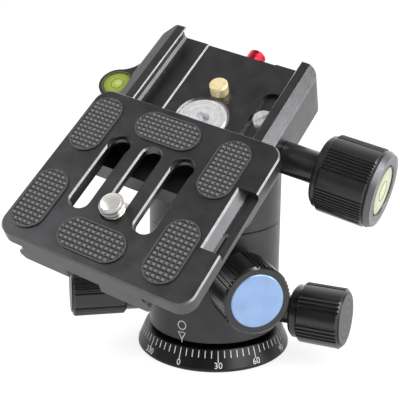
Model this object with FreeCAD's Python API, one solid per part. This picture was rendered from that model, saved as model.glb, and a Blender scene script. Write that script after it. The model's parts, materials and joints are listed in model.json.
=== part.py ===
import FreeCAD, Part
import math
import os

# Tripod ball head with a panning base, a ball clamped in a round housing, and a
# dovetail clamp that carries a sliding camera plate. Millimetres, +Z up, origin
# at the centre of the base's underside, the dial's zero mark towards -Y.

V = FreeCAD.Vector
UP = V(0, 0, 1)

# Clearances
TURN_GAP = 0.08          # running fit between a shaft and its hole, on the radius
SLIDE_GAP = 0.15         # between faces that slide along each other
FREE_GAP = 0.3           # between parts that pass each other
SIDE_GAP = 0.35          # beside the dovetail's upright edges

# Sizes that everything else in the housing is built round
BALL_R = 14.0
SPINDLE_TOP = 17.0
LINER_R = BALL_R + 2.2
HOUSING_R = LINER_R + 3.2
HOUSING_WELL_R = BALL_R - 1.0
KNOB_SEAT_R = HOUSING_WELL_R + 1.0    # where a knob's bush starts, out from the housing's axis

# Base and its graduated dial
DIAL_TOP_R = HOUSING_R + 1.2
DIAL_RIM_R = HOUSING_R + 3.4
DIAL_FOOT_R = HOUSING_R + 3.0
DIAL_BORE_R = HOUSING_R - 3.4
DIAL_RIM_HEIGHT = 1.0
DIAL_FOOT_HEIGHT = 0.4
DIAL_HEIGHT = 6.1
BASE_DISC_HEIGHT = 5.4
SPINDLE_R = HOUSING_WELL_R - 3.0
SPINDLE_GROOVE_DEPTH = 1.4
THREAD_R = 4.0           # bore of the 3/8 inch tripod thread
THREAD_BUSH_R = 6.8
THREAD_BUSH_HEIGHT = 12.4
PAN_WASHER_R = DIAL_BORE_R - 0.6
PAN_WASHER_THICKNESS = 1.1
PAN_WASHER_PLAY = 0.05
RETAINER_R = HOUSING_WELL_R - 0.6
RETAINER_THICKNESS = 1.6
RETAINER_SCREW_R = 1.0
RETAINER_SCREW_CIRCLE = 6.3
RETAINER_SCREW_COUNT = 3
RETAINER_SCREW_LENGTH = 4.5
RETAINER_HEAD_R = 1.5
RETAINER_HEAD_DEPTH = 0.8

# Heights up the housing, each built on the one below it
PAN_HEIGHT = SPINDLE_TOP - 2.8
RETAINER_TOP = SPINDLE_TOP + RETAINER_THICKNESS
CONE_BOTTOM = RETAINER_TOP + 0.4
FRICTION_HEIGHT = CONE_BOTTOM + 1.6
MAIN_HEIGHT = CONE_BOTTOM + 7.5
CONE_TOP = MAIN_HEIGHT + 3.5
CUP_SPRING_THICKNESS = 0.6
CUP_SPRING_RISE = 0.5
CUP_BOTTOM = CONE_TOP + CUP_SPRING_RISE + CUP_SPRING_THICKNESS
CUP_FLOOR = 3.77         # from the cup's underside to the lowest point of the ball
BALL_HEIGHT = CUP_BOTTOM + CUP_FLOOR + BALL_R
CUP_TOP = BALL_HEIGHT - 10.17
SEAM_HEIGHT = BALL_HEIGHT - 9.27
LINER_BOTTOM = BALL_HEIGHT - 5.87
LINER_TOP = BALL_HEIGHT + 3.53
HOUSING_TOP = BALL_HEIGHT + 5.33

# Housing
HOUSING_FOOT_CHAMFER = 0.8
SEAM_GAP = 0.1
SEAM_CHAMFER = 0.25
COLLAR_CHAMFER = 1.1
COLLAR_SPIGOT_DEPTH = 3.0

# Ball and stem
LIP_BALL_GAP = 0.3
STEM_R = 6.0
STEM_FLANGE_R = 9.4
STEM_FLANGE_THICKNESS = 2.4
STEM_FLANGE_CHAMFER = 1.2
STEM_BORE_DEPTH = 5.4
NOTCH_AZIMUTH = 180.0
NOTCH_GAP = 0.6

# Ball cup and the cone under it
CUP_WINDOW_R = 5.0
CUP_SPRING_BORE_R = 5.5
CONE_GROOVE_DEPTH = 2.2
CONE_FOOT_R = 9.1
CONE_FOOT_RISE = 3.6

# Knobs on the housing: azimuth is measured from -Y towards +X
MAIN_AZIMUTH = 45.0
FRICTION_AZIMUTH = -52.0
PAN_AZIMUTH = 93.0
KNOB_SCREW_R = 3.0
KNOB_SCREW_END_GAP = 3.0
KNOB_BUSH_R = 4.4
KNOB_BUSH_END = HOUSING_R - 0.7
TIP_R = 1.7
TIP_GAP = 0.3

# Clamp pose at rest
CLAMP_TILT = 38.26       # stem from upright
CLAMP_TILT_AZIMUTH = 13.73
CLAMP_SWIVEL = -18.32
CLAMP_ARM = BALL_R + 17.11    # ball centre to the clamp's floor, along the stem

# Clamp, in its own frame: X across, Y along the dovetail, Z out of the floor
DOVETAIL_HALF_WIDTH = 19.0
CLAMP_HALF_LENGTH = 25.0
CLAMP_HALF_WIDTH = DOVETAIL_HALF_WIDTH + 5.3
CLAMP_THICKNESS = 11.0
CLAMP_CORNER_X = 2.6
CLAMP_CORNER_Y = 4.4
JAW_CORNER_R = 4.5
CLAMP_END_HEIGHT = 6.4  # end faces reach this far down, then slope in
JAW_TOP = 4.4
JAW_SLOPE_X = 3.4
JAW_SLOPE_DROP = 1.0
JAW_BEVEL = 0.45
JAW_LIP_BEVEL = 0.3
JAW_UNDERSIDE_CHAMFER = 1.4
RAIL_EDGE_X = 11.3
CHANNEL_DEPTH = 0.4
JAW_SEAM_X = 10.0
JAW_OPENING = 4.0
SPINDLE_AXIS_Z = -5.4
CLAMP_SPINDLE_R = 2.2
CLAMP_SPINDLE_START = 4.6
GUIDE_ROD_R = 1.5
GUIDE_ROD_Y = 17.0
GUIDE_ROD_START = 5.4
GUIDE_ROD_END = CLAMP_HALF_WIDTH - 3.3
JAW_POCKET_X = DOVETAIL_HALF_WIDTH - 3.4
JAW_POCKET_HALF_WIDTH = 3.3
JAW_POCKET_START = -15.1
JAW_POCKET_END = 15.1
JAW_POCKET_DEPTH = 1.3
JAW_SCREW_Y = 6.2
JAW_SCREW_R = 2.9
JAW_SCREW_HEAD = 1.1
JAW_SCREW_SHANK_R = 1.25
JAW_SCREW_SLOT = 0.9
JAW_SCREW_SLOT_DEPTH = 0.6
JAW_SCREW_SLOT_ANGLE = 60.0
JAW_SCREW_LENGTH = 6.5
CENTRE_DISC_R = 7.0
CENTRE_DISC_THICKNESS = 2.1
CENTRE_DISC_DROP = 0.1
CENTRE_DISC_GAP = 0.1
CENTRE_RING_CHAMFER = 0.5
CENTRE_SHANK_R = 3.0
CENTRE_HEX = 4.0         # across flats
CENTRE_HEX_DEPTH = 2.2

# Round level on the fixed jaw's lug
LUG_X = -CLAMP_HALF_WIDTH - 2.5
LUG_Y = 0.0
LUG_R = 5.3
LUG_TOP = 2.4
LUG_BLEND_R = 7.0
LUG_BOTTOM = -3.6
LEVEL_R = 4.5
LEVEL_BOTTOM = -1.2
LEVEL_TOP = 2.6

# Safety pin and its release button
PIN_X = 0.0
PIN_Y = 10.4
PIN_R = 2.6
PIN_RISE = 2.7
PIN_BOTTOM = -6.4
PIN_TRAVEL = 2.9
PIN_HOLLOW_R = 1.8
PIN_HOLLOW_TOP = 0.6
PIN_SPRING_R = 1.6
PIN_SPRING_WALL = 0.4
BUTTON_X = 2.0
BUTTON_Z = -3.6
BUTTON_R = 2.6
BUTTON_REACH = 4.3
BUTTON_INNER_Y = 15.6
BUTTON_TRAVEL = 1.8
BUTTON_HOLE_Y = 13.5
BUTTON_HOLLOW_END = 22.0

# Clamp knob along the clamp's X axis
CLAMP_NECK_R = 4.35
CLAMP_COLLAR_R = 9.7
CLAMP_COLLAR_START = CLAMP_HALF_WIDTH + 11.4
CLAMP_GRIP_START = CLAMP_COLLAR_START + 1.7
CLAMP_GRIP_R = 10.4
CLAMP_GRIP_END = CLAMP_GRIP_START + 13.2
CLAMP_SPINDLE_END = CLAMP_GRIP_END - 4.6
CLAMP_BEZEL_END = CLAMP_GRIP_END + 1.9
CLAMP_BEZEL_RIM_R = 9.5
KNOB_LEVEL_R = 6.6
KNOB_LEVEL_START = CLAMP_GRIP_END - 1.2
KNOB_LEVEL_END = CLAMP_BEZEL_END - 0.1

# Camera plate, in the clamp's frame
PLATE_LEFT = -CLAMP_HALF_WIDTH
PLATE_RIGHT = 30.1
PLATE_FRONT = -57.55
PLATE_REAR = -8.15
PLATE_TOP = 10.2
PLATE_FLANGE_BOTTOM = 6.0
PLATE_BOTTOM = 0.3
PLATE_CORNER_R = 4.2
PLATE_EDGE_CHAMFER = 0.4
DOVETAIL_NECK_HALF_WIDTH = DOVETAIL_HALF_WIDTH - 1.8
DOVETAIL_SHOULDER = 3.1
DOVETAIL_FOOT_CHAMFER = 1.3
PLATE_GROOVE_HALF_WIDTH = 4.7
PLATE_GROOVE_TOP = 3.4
POCKET_HALF_WIDTH = DOVETAIL_HALF_WIDTH - 3.2
POCKET_FRONT = -48.0
POCKET_REAR = -17.0
POCKET_CEILING = 8.0
SLOT_PITCH = 9.4
SLOT_HALF_WIDTH = 2.6
SLOT_FRONT = -44.3
SLOT_REAR = -20.8
SLOT_EDGE_CHAMFER = 0.45
SLOT_POCKET_R = 3.2
SLOT_POCKET_DEPTH = 1.2
STRAP_NOTCH_INNER_X = 24.7
STRAP_NOTCH_FRONT = -41.95
STRAP_NOTCH_REAR = -23.25
STRAP_NOTCH_DEPTH = 2.3
STRAP_GROOVE_DEPTH = 0.4
STRAP_SLOT_X = 27.7
STRAP_SLOT_HALF_WIDTH = 0.7
STRAP_SLOT_FRONT = -41.2
STRAP_SLOT_REAR = -34.6

# Rubber pads of the plate, ovals with round ends
PAD_HALF_SHORT = 4.6
PAD_HALF_LONG = 9.2
PAD_SINK = 0.6
PAD_RISE = 0.4
PAD_EDGE_CHAMFER = 0.25
PAD_LEFT_X = -18.8
PAD_RIGHT_X = 19.2
PAD_REAR_Y = -19.95
PAD_FRONT_Y = -45.75
PAD_MIDDLE_REAR_Y = -14.85
PAD_MIDDLE_FRONT_Y = -50.85

# Camera screw, quarter inch
SCREW_THREAD_R = 3.175
SCREW_NECK_R = 2.2
SCREW_REACH = 3.1
SCREW_Y = -41.15
SCREW_HEAD_R = 4.3
SCREW_HEAD_BOTTOM = 4.6
SCREW_HEAD_TOP = 7.0
SCREW_WASHER_R = 4.3
SCREW_WASHER_BOTTOM = 7.1
SCREW_WASHER_TOP = 7.9
STOP_SCREW_R = 2.2
STOP_SCREW_SHANK_R = 1.0
STOP_SCREW_BOTTOM = 1.2
STOP_SCREW_DEPTH = 3.0
STOP_SCREW_OFFSET = 20.5
SCREW_COIN_SLOT = 1.2
SCREW_COIN_SLOT_DEPTH = 0.9
SCREW_THREAD_LIFT = 0.15   # thread starts this far above the plate
SCREW_TIP_CHAMFER = 0.5

# Ribs shared by all the knobs
RIB_GROUPS = 6
RIB_DEPTH = 0.45
RIB_SHARE = 0.58         # share of each group's arc that is ribbed
GRIP_CHAMFER = 0.6

PAN_WEB_TOP = SPINDLE_TOP - FREE_GAP
HOUSING_BOTTOM = BASE_DISC_HEIGHT + PAN_WASHER_THICKNESS + 0.1
CONE_R = HOUSING_WELL_R - TURN_GAP
BALL_SEAT_R = BALL_R + TURN_GAP
PIN_FLOOR = PIN_BOTTOM - PIN_TRAVEL - FREE_GAP
PLATE_MIDDLE = (PLATE_FRONT + PLATE_REAR) / 2
BALL_CENTRE = V(0, 0, BALL_HEIGHT)


def cylinder(radius, bottom, top, x=0.0, y=0.0):
    return Part.makeCylinder(radius, top - bottom, V(x, y, bottom))


def tube(outer, inner, bottom, top, x=0.0, y=0.0):
    return cylinder(outer, bottom, top, x, y).cut(cylinder(inner, bottom - 1, top + 1, x, y))


def block(x0, x1, y0, y1, z0, z1):
    return Part.makeBox(x1 - x0, y1 - y0, z1 - z0, V(x0, y0, z0))


def sphere(radius, centre=V(0, 0, 0)):
    return Part.makeSphere(radius, centre)


def turned(profile):
    """Solid of revolution about Z from (radius, height) points."""
    points = [V(r, 0, z) for r, z in profile]
    face = Part.Face(Part.makePolygon(points + points[:1]))
    return face.revolve(V(0, 0, 0), UP, 360)


def prism(outline, bottom, top):
    """Upright solid from (x, y) points."""
    points = [V(x, y, bottom) for x, y in outline]
    face = Part.Face(Part.makePolygon(points + points[:1]))
    return face.extrude(V(0, 0, top - bottom))


def rail(profile, start, end):
    """Solid along Y from (x, z) points."""
    points = [V(x, start, z) for x, z in profile]
    face = Part.Face(Part.makePolygon(points + points[:1]))
    return face.extrude(V(0, end - start, 0))


def rounded_block(x0, x1, y0, y1, z0, z1, radius):
    solid = block(x0, x1, y0, y1, z0, z1)
    upright = [e for e in solid.Edges if abs(e.tangentAt(e.FirstParameter).z) > 0.9]
    return solid.makeFillet(radius, upright)


def stadium(x, front, rear, half_width, bottom, top):
    """Long hole or pocket with round ends, along Y."""
    ends = [cylinder(half_width, bottom, top, x, y) for y in (front + half_width, rear - half_width)]
    middle = block(x - half_width, x + half_width, front + half_width, rear - half_width, bottom, top)
    return middle.fuse(ends).removeSplitter()


def hexagon(across_flats, bottom, top):
    corner = across_flats / math.sqrt(3)
    outline = [(corner * math.cos(math.radians(a)), corner * math.sin(math.radians(a)))
               for a in range(0, 360, 60)]
    return prism(outline, bottom, top)


def placed(shape, placement):
    result = shape.copy()
    result.Placement = placement.multiply(result.Placement)
    return result


def radial(azimuth, height):
    """Frame whose Z points out of the housing at an azimuth, and whose Y points up."""
    turn = FreeCAD.Rotation(UP, azimuth).multiply(FreeCAD.Rotation(V(1, 0, 0), 90))
    return FreeCAD.Placement(V(0, 0, height), turn)


def stem_frame():
    """Frame at the ball's centre with Z along the stem."""
    turn = FreeCAD.Rotation(UP, CLAMP_TILT_AZIMUTH)
    turn = turn.multiply(FreeCAD.Rotation(V(1, 0, 0), CLAMP_TILT))
    return FreeCAD.Placement(BALL_CENTRE, turn)


def clamp_frame():
    """Frame at the middle of the clamp's floor, turned with the clamp."""
    stem = stem_frame()
    base = stem.multVec(V(0, 0, CLAMP_ARM))
    turn = stem.Rotation.multiply(FreeCAD.Rotation(UP, CLAMP_SWIVEL))
    return FreeCAD.Placement(base, turn)


def along_x(shape, axis_z):
    """Turn a part made along Z so that it lies along X at a height."""
    turn = FreeCAD.Rotation(V(0, 1, 0), 90)
    return placed(shape, FreeCAD.Placement(V(0, 0, axis_z), turn))


def ribbed_outline(radius, ribs):
    """Outline of a grip: groups of small ribs with smooth arcs between them."""
    points = []
    group_angle = 360.0 / RIB_GROUPS
    rib_angle = group_angle * RIB_SHARE / ribs
    for group in range(RIB_GROUPS):
        start = group * group_angle
        for rib in range(ribs):
            for share, depth in ((0.0, 0.0), (0.3, RIB_DEPTH), (0.5, RIB_DEPTH), (0.8, 0.0)):
                points.append((start + (rib + share) * rib_angle, radius - depth))
        points.append((start + ribs * rib_angle, radius))
        smooth = group_angle * (1 - RIB_SHARE)
        points.append((start + ribs * rib_angle + smooth / 2, None))
    return points


def ribbed_bar(radius, bottom, top, ribs):
    edges = []
    previous = None
    arc_middle = None
    outline = ribbed_outline(radius, ribs)
    for angle, distance in outline + outline[:1]:
        turn = math.radians(angle)
        if distance is None:
            arc_middle = V(radius * math.cos(turn), radius * math.sin(turn), bottom)
            continue
        point = V(distance * math.cos(turn), distance * math.sin(turn), bottom)
        if arc_middle is not None:
            edges.append(Part.Arc(previous, arc_middle, point).toShape())
            arc_middle = None
        elif previous is not None:
            edges.append(Part.LineSegment(previous, point).toShape())
        previous = point
    face = Part.Face(Part.Wire(edges))
    return face.extrude(V(0, 0, top - bottom))


def grip(radius, bottom, top, ribs, bore):
    """Knurled grip with chamfered ends and a hole for its screw."""
    envelope = turned([(bore, bottom), (radius - GRIP_CHAMFER, bottom), (radius, bottom + GRIP_CHAMFER),
                       (radius, top - GRIP_CHAMFER), (radius - GRIP_CHAMFER, top), (bore, top)])
    return ribbed_bar(radius, bottom, top, ribs).common(envelope)


# Base

def dial_ring():
    return turned([(DIAL_BORE_R, 0), (DIAL_FOOT_R, 0), (DIAL_RIM_R, DIAL_FOOT_HEIGHT),
                   (DIAL_RIM_R, DIAL_RIM_HEIGHT), (DIAL_TOP_R, DIAL_HEIGHT), (DIAL_BORE_R, DIAL_HEIGHT)])


def base_disc():
    """Disc inside the dial, with the spindle that the housing pans on."""
    waist = SPINDLE_R - SPINDLE_GROOVE_DEPTH
    half_waist = TIP_R + FREE_GAP
    half_groove = half_waist + SPINDLE_GROOVE_DEPTH
    body = turned([(THREAD_BUSH_R, 0), (DIAL_BORE_R, 0), (DIAL_BORE_R, BASE_DISC_HEIGHT),
                   (SPINDLE_R, BASE_DISC_HEIGHT), (SPINDLE_R, PAN_HEIGHT - half_groove),
                   (waist, PAN_HEIGHT - half_waist), (waist, PAN_HEIGHT + half_waist),
                   (SPINDLE_R, min(PAN_HEIGHT + half_groove, SPINDLE_TOP - 0.2)),
                   (SPINDLE_R, SPINDLE_TOP), (THREAD_R, SPINDLE_TOP),
                   (THREAD_R, THREAD_BUSH_HEIGHT), (THREAD_BUSH_R, THREAD_BUSH_HEIGHT)])
    return body.cut(retainer_screws())


def thread_bush():
    return tube(THREAD_BUSH_R, THREAD_R, 0, THREAD_BUSH_HEIGHT)


def retainer_screws():
    head_bottom = RETAINER_TOP - RETAINER_HEAD_DEPTH
    head = turned([(0, head_bottom), (RETAINER_SCREW_R, head_bottom),
                   (RETAINER_HEAD_R, RETAINER_TOP), (0, RETAINER_TOP)])
    screw = head.fuse(cylinder(RETAINER_SCREW_R, RETAINER_TOP - RETAINER_SCREW_LENGTH, RETAINER_TOP))
    screw = screw.removeSplitter()
    screws = []
    for index in range(RETAINER_SCREW_COUNT):
        angle = math.radians(index * 360.0 / RETAINER_SCREW_COUNT)
        place = V(RETAINER_SCREW_CIRCLE * math.cos(angle), RETAINER_SCREW_CIRCLE * math.sin(angle), 0)
        screws.append(placed(screw, FreeCAD.Placement(place, FreeCAD.Rotation())))
    return Part.makeCompound(screws)


def pan_retainer():
    return tube(RETAINER_R, THREAD_R, SPINDLE_TOP, RETAINER_TOP).cut(retainer_screws())


# Housing

def knob_bores(azimuth, height):
    """Hole for a knob's bush and a narrower one for its tip."""
    bush = cylinder(KNOB_BUSH_R, KNOB_SEAT_R, HOUSING_R + 1)
    tip = cylinder(TIP_R + TURN_GAP, 0, KNOB_SEAT_R + 1)
    return placed(bush.fuse(tip), radial(azimuth, height))


def housing_body():
    pan_bore = SPINDLE_R + TURN_GAP
    foot = HOUSING_R - HOUSING_FOOT_CHAMFER
    spigot = LINER_R - SEAM_GAP
    body = turned([(pan_bore, HOUSING_BOTTOM), (foot, HOUSING_BOTTOM),
                   (HOUSING_R, HOUSING_BOTTOM + HOUSING_FOOT_CHAMFER),
                   (HOUSING_R, SEAM_HEIGHT - SEAM_CHAMFER), (HOUSING_R - SEAM_CHAMFER, SEAM_HEIGHT),
                   (spigot, SEAM_HEIGHT), (spigot, SEAM_HEIGHT + COLLAR_SPIGOT_DEPTH),
                   (BALL_R + FREE_GAP, SEAM_HEIGHT + COLLAR_SPIGOT_DEPTH),
                   (BALL_R + FREE_GAP, CUP_TOP + FREE_GAP), (HOUSING_WELL_R, CUP_TOP + FREE_GAP),
                   (HOUSING_WELL_R, PAN_WEB_TOP), (pan_bore, PAN_WEB_TOP)])
    body = body.cut(knob_bores(MAIN_AZIMUTH, MAIN_HEIGHT))
    body = body.cut(knob_bores(FRICTION_AZIMUTH, FRICTION_HEIGHT))
    return body.cut(knob_bores(PAN_AZIMUTH, PAN_HEIGHT))


def drop_notch(radius):
    """Slot that lets the stem lie down sideways."""
    round_end = cylinder(radius, 0, HOUSING_R + 2)
    above = block(-radius, radius, 0, HOUSING_R, 0, HOUSING_R + 2)
    return placed(round_end.fuse(above), radial(NOTCH_AZIMUTH, BALL_HEIGHT))


def top_collar():
    inner_top = math.sqrt((BALL_R + LIP_BALL_GAP) ** 2 - (HOUSING_TOP - BALL_HEIGHT) ** 2)
    bottom = SEAM_HEIGHT + SEAM_GAP
    body = turned([(LINER_R, bottom), (HOUSING_R - SEAM_CHAMFER, bottom), (HOUSING_R, bottom + SEAM_CHAMFER),
                   (HOUSING_R, HOUSING_TOP - COLLAR_CHAMFER), (HOUSING_R - COLLAR_CHAMFER, HOUSING_TOP),
                   (inner_top, HOUSING_TOP), (inner_top, LINER_TOP), (LINER_R, LINER_TOP)])
    body = body.cut(sphere(BALL_R + LIP_BALL_GAP, BALL_CENTRE))
    return body.cut(drop_notch(STEM_R + NOTCH_GAP))


def seat_liner():
    ring = tube(LINER_R, BALL_R * 0.8, LINER_BOTTOM, LINER_TOP)
    ring = ring.cut(sphere(BALL_SEAT_R, BALL_CENTRE))
    return ring.cut(drop_notch(STEM_R + NOTCH_GAP))


def ball_cup():
    cup = tube(CONE_R, CUP_WINDOW_R, CUP_BOTTOM, CUP_TOP)
    return cup.cut(sphere(BALL_SEAT_R, BALL_CENTRE))


def cup_spring():
    """Conical spring washer between the cup and the cone."""
    outer = CONE_R - FREE_GAP
    return turned([(CUP_SPRING_BORE_R, CONE_TOP + CUP_SPRING_RISE), (outer, CONE_TOP),
                   (outer, CONE_TOP + CUP_SPRING_THICKNESS), (CUP_SPRING_BORE_R, CUP_BOTTOM)])


def lift_cone():
    """Carrier under the ball cup; the two lock tips wedge it upwards."""
    groove_r = CONE_R - CONE_GROOVE_DEPTH
    return turned([(0, CONE_BOTTOM), (CONE_FOOT_R, CONE_BOTTOM), (CONE_R, CONE_BOTTOM + CONE_FOOT_RISE),
                   (CONE_R, MAIN_HEIGHT - CONE_GROOVE_DEPTH), (groove_r, MAIN_HEIGHT),
                   (CONE_R, MAIN_HEIGHT + CONE_GROOVE_DEPTH), (CONE_R, CONE_TOP), (0, CONE_TOP)])


def pan_washer():
    inner = SPINDLE_R + FREE_GAP
    return tube(PAN_WASHER_R, inner, BASE_DISC_HEIGHT + PAN_WASHER_PLAY,
                BASE_DISC_HEIGHT + PAN_WASHER_THICKNESS)


def knob_bush(azimuth, height):
    bush = tube(KNOB_BUSH_R, KNOB_SCREW_R + TURN_GAP, KNOB_SEAT_R, KNOB_BUSH_END)
    return placed(bush, radial(azimuth, height))


# Lock tips, one ahead of each knob's screw

def pointed_tip(end, back):
    """Round bar with a 45 degree point, along Z towards the housing's axis."""
    return turned([(0, end), (TIP_R, end + TIP_R), (TIP_R, back), (0, back)])


def main_lock_tip():
    end = CONE_R - CONE_GROOVE_DEPTH + TIP_GAP
    return placed(pointed_tip(end, KNOB_SEAT_R), radial(MAIN_AZIMUTH, MAIN_HEIGHT))


def friction_tip():
    slope = (CONE_R - CONE_FOOT_R) / CONE_FOOT_RISE
    reach = CONE_R - slope * (CONE_BOTTOM + CONE_FOOT_RISE - FRICTION_HEIGHT)
    end = reach + TIP_GAP
    return placed(pointed_tip(end, KNOB_SEAT_R), radial(FRICTION_AZIMUTH, FRICTION_HEIGHT))


def pan_lock_shoe():
    end = SPINDLE_R - SPINDLE_GROOVE_DEPTH + FREE_GAP
    return placed(cylinder(TIP_R, end, KNOB_SEAT_R), radial(PAN_AZIMUTH, PAN_HEIGHT))


# Knobs on the housing

# Distances named start or end run from the housing's axis
MAIN_KNOB = {"azimuth": MAIN_AZIMUTH, "height": MAIN_HEIGHT,
             "neck_r": 5.4, "neck_start": HOUSING_R + 0.6,
             "collar_r": 8.6, "collar_start": HOUSING_R + 2.0,
             "grip_r": 9.6, "grip_start": HOUSING_R + 3.2, "end": HOUSING_R + 16.4,
             "ribs": 5, "cap_r": 7.5, "cap_depth": 1.3, "cap_proud": 0.1}
FRICTION_KNOB = {"azimuth": FRICTION_AZIMUTH, "height": FRICTION_HEIGHT,
                 "neck_r": 7.0, "neck_start": HOUSING_R + 0.5,
                 "collar_r": 8.3, "collar_start": HOUSING_R + 2.2,
                 "grip_r": 9.3, "grip_start": HOUSING_R + 7.9, "end": HOUSING_R + 23.3,
                 "ribs": 4, "cap_r": 8.2, "cap_depth": 1.2, "cap_proud": 0.4}
PAN_KNOB = {"azimuth": PAN_AZIMUTH, "height": PAN_HEIGHT,
            "neck_r": 4.2, "neck_start": HOUSING_R + 0.5,
            "collar_r": 7.7, "collar_start": HOUSING_R + 6.4,
            "grip_r": 8.7, "grip_start": HOUSING_R + 9.0, "end": HOUSING_R + 21.5,
            "ribs": 4, "cap_r": 7.9, "cap_depth": 1.2, "cap_proud": 0.4}


def knob_screw(knob):
    """Screw, neck and smooth collar behind the grip, turned from one bar."""
    shank_end = knob["end"] - KNOB_SCREW_END_GAP
    profile = [(0, KNOB_SEAT_R + 0.1), (KNOB_SCREW_R, KNOB_SEAT_R + 0.1),
               (KNOB_SCREW_R, knob["neck_start"]), (knob["neck_r"], knob["neck_start"]),
               (knob["neck_r"], knob["collar_start"]), (knob["collar_r"] - 0.8, knob["collar_start"]),
               (knob["collar_r"], knob["collar_start"] + 0.8), (knob["collar_r"], knob["grip_start"]),
               (KNOB_SCREW_R, knob["grip_start"]), (KNOB_SCREW_R, shank_end), (0, shank_end)]
    return placed(turned(profile), radial(knob["azimuth"], knob["height"]))


def knob_grip(knob):
    body = grip(knob["grip_r"], knob["grip_start"], knob["end"], knob["ribs"], KNOB_SCREW_R)
    recess = cylinder(knob["cap_r"], knob["end"] - knob["cap_depth"], knob["end"] + 1)
    plug = cylinder(KNOB_SCREW_R, knob["end"] - KNOB_SCREW_END_GAP, knob["end"] - knob["cap_depth"])
    return placed(body.fuse(plug).cut(recess).removeSplitter(), radial(knob["azimuth"], knob["height"]))


def knob_cap(knob):
    bottom = knob["end"] - knob["cap_depth"]
    top = knob["end"] + knob["cap_proud"]
    cap = turned([(0, bottom), (knob["cap_r"], bottom), (knob["cap_r"], knob["end"] - 0.1),
                  (knob["cap_r"] - 0.3, top), (0, top)])
    return placed(cap, radial(knob["azimuth"], knob["height"]))


# Ball and stem, in the stem's frame

def ball():
    return sphere(BALL_R, BALL_CENTRE)


def stem():
    top = CLAMP_ARM - CLAMP_THICKNESS - SLIDE_GAP
    flange = top - STEM_FLANGE_THICKNESS
    body = turned([(0, BALL_R * 0.7), (STEM_R, BALL_R * 0.7), (STEM_R, flange - STEM_FLANGE_CHAMFER),
                   (STEM_R + STEM_FLANGE_CHAMFER, flange),
                   (STEM_FLANGE_R, flange), (STEM_FLANGE_R, top), (0, top)])
    body = body.cut(sphere(BALL_SEAT_R))
    body = body.cut(cylinder(CENTRE_SHANK_R + TURN_GAP, top - STEM_BORE_DEPTH, top + 1))
    return placed(body, stem_frame())


# Clamp, in the clamp's frame

def jaw_profile():
    """Right-hand section of a jaw from the foot of its flank round to its underside."""
    flank = DOVETAIL_HALF_WIDTH + DOVETAIL_SHOULDER + SLIDE_GAP * math.sqrt(2)
    wall_x = DOVETAIL_HALF_WIDTH + SIDE_GAP
    slope_x = CLAMP_HALF_WIDTH - JAW_SLOPE_X
    slope_z = JAW_TOP - JAW_SLOPE_DROP
    return [(wall_x - SIDE_GAP * 2, 0), (wall_x, SIDE_GAP * 2), (wall_x, flank - wall_x),
            (flank - JAW_TOP + JAW_LIP_BEVEL, JAW_TOP - JAW_LIP_BEVEL),
            (flank - JAW_TOP + JAW_LIP_BEVEL * 2, JAW_TOP), (slope_x, JAW_TOP),
            (CLAMP_HALF_WIDTH - JAW_BEVEL, slope_z),
            (CLAMP_HALF_WIDTH, slope_z - JAW_BEVEL),
            (CLAMP_HALF_WIDTH, JAW_UNDERSIDE_CHAMFER - CLAMP_THICKNESS),
            (CLAMP_HALF_WIDTH - JAW_UNDERSIDE_CHAMFER, -CLAMP_THICKNESS)]


def underside_slopes():
    """Wedges that slope the underside up to the front and rear end faces."""
    run = CLAMP_THICKNESS - CLAMP_END_HEIGHT
    reach = CLAMP_HALF_WIDTH + 1
    wedges = []
    for end in (-1, 1):
        foot = end * (CLAMP_HALF_LENGTH - run)
        tip = end * (CLAMP_HALF_LENGTH + 1)
        points = [V(-reach, foot, -CLAMP_THICKNESS), V(-reach, tip, -CLAMP_END_HEIGHT + 1),
                  V(-reach, tip, -CLAMP_THICKNESS - 1), V(-reach, foot, -CLAMP_THICKNESS - 1)]
        wedges.append(Part.Face(Part.makePolygon(points + points[:1])).extrude(V(2 * reach, 0, 0)))
    return Part.makeCompound(wedges)


def corner_wedge(end):
    """Wedge that takes off an outer corner of the fixed jaw."""
    x_side = -CLAMP_HALF_WIDTH
    slope = CLAMP_CORNER_Y / CLAMP_CORNER_X
    outline = [(x_side + CLAMP_CORNER_X + 1, end * (CLAMP_HALF_LENGTH + slope)),
               (x_side - 1, end * (CLAMP_HALF_LENGTH - CLAMP_CORNER_Y - slope)),
               (x_side - 1, end * (CLAMP_HALF_LENGTH + slope))]
    return prism(outline, -CLAMP_THICKNESS - 1, JAW_TOP + 1)


def level_lug():
    """Round lug on the fixed jaw's side, blended into it with hollow arcs."""
    side_x = -CLAMP_HALF_WIDTH
    blend_x = side_x - LUG_BLEND_R
    dx = blend_x - LUG_X
    dy = math.sqrt((LUG_R + LUG_BLEND_R) ** 2 - dx ** 2)
    share = LUG_R / (LUG_R + LUG_BLEND_R)
    touch = [V(LUG_X + dx * share, LUG_Y + s * dy * share, LUG_BOTTOM) for s in (1, -1)]
    foot = [V(side_x, LUG_Y + s * dy, LUG_BOTTOM) for s in (1, -1)]
    bend = []
    for s, t, f in zip((1, -1), touch, foot):
        centre = V(blend_x, LUG_Y + s * dy, LUG_BOTTOM)
        toward = (t - centre) + (f - centre)
        bend.append(centre + toward.normalize() * LUG_BLEND_R)
    inner = [V(side_x + 1, f.y, LUG_BOTTOM) for f in foot]
    edges = [Part.Arc(foot[0], bend[0], touch[0]).toShape(),
             Part.Arc(touch[0], V(LUG_X - LUG_R, LUG_Y, LUG_BOTTOM), touch[1]).toShape(),
             Part.Arc(touch[1], bend[1], foot[1]).toShape(),
             Part.LineSegment(foot[1], inner[1]).toShape(),
             Part.LineSegment(inner[1], inner[0]).toShape(),
             Part.LineSegment(inner[0], foot[0]).toShape()]
    return Part.Face(Part.Wire(edges)).extrude(V(0, 0, LUG_TOP - LUG_BOTTOM))


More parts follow.
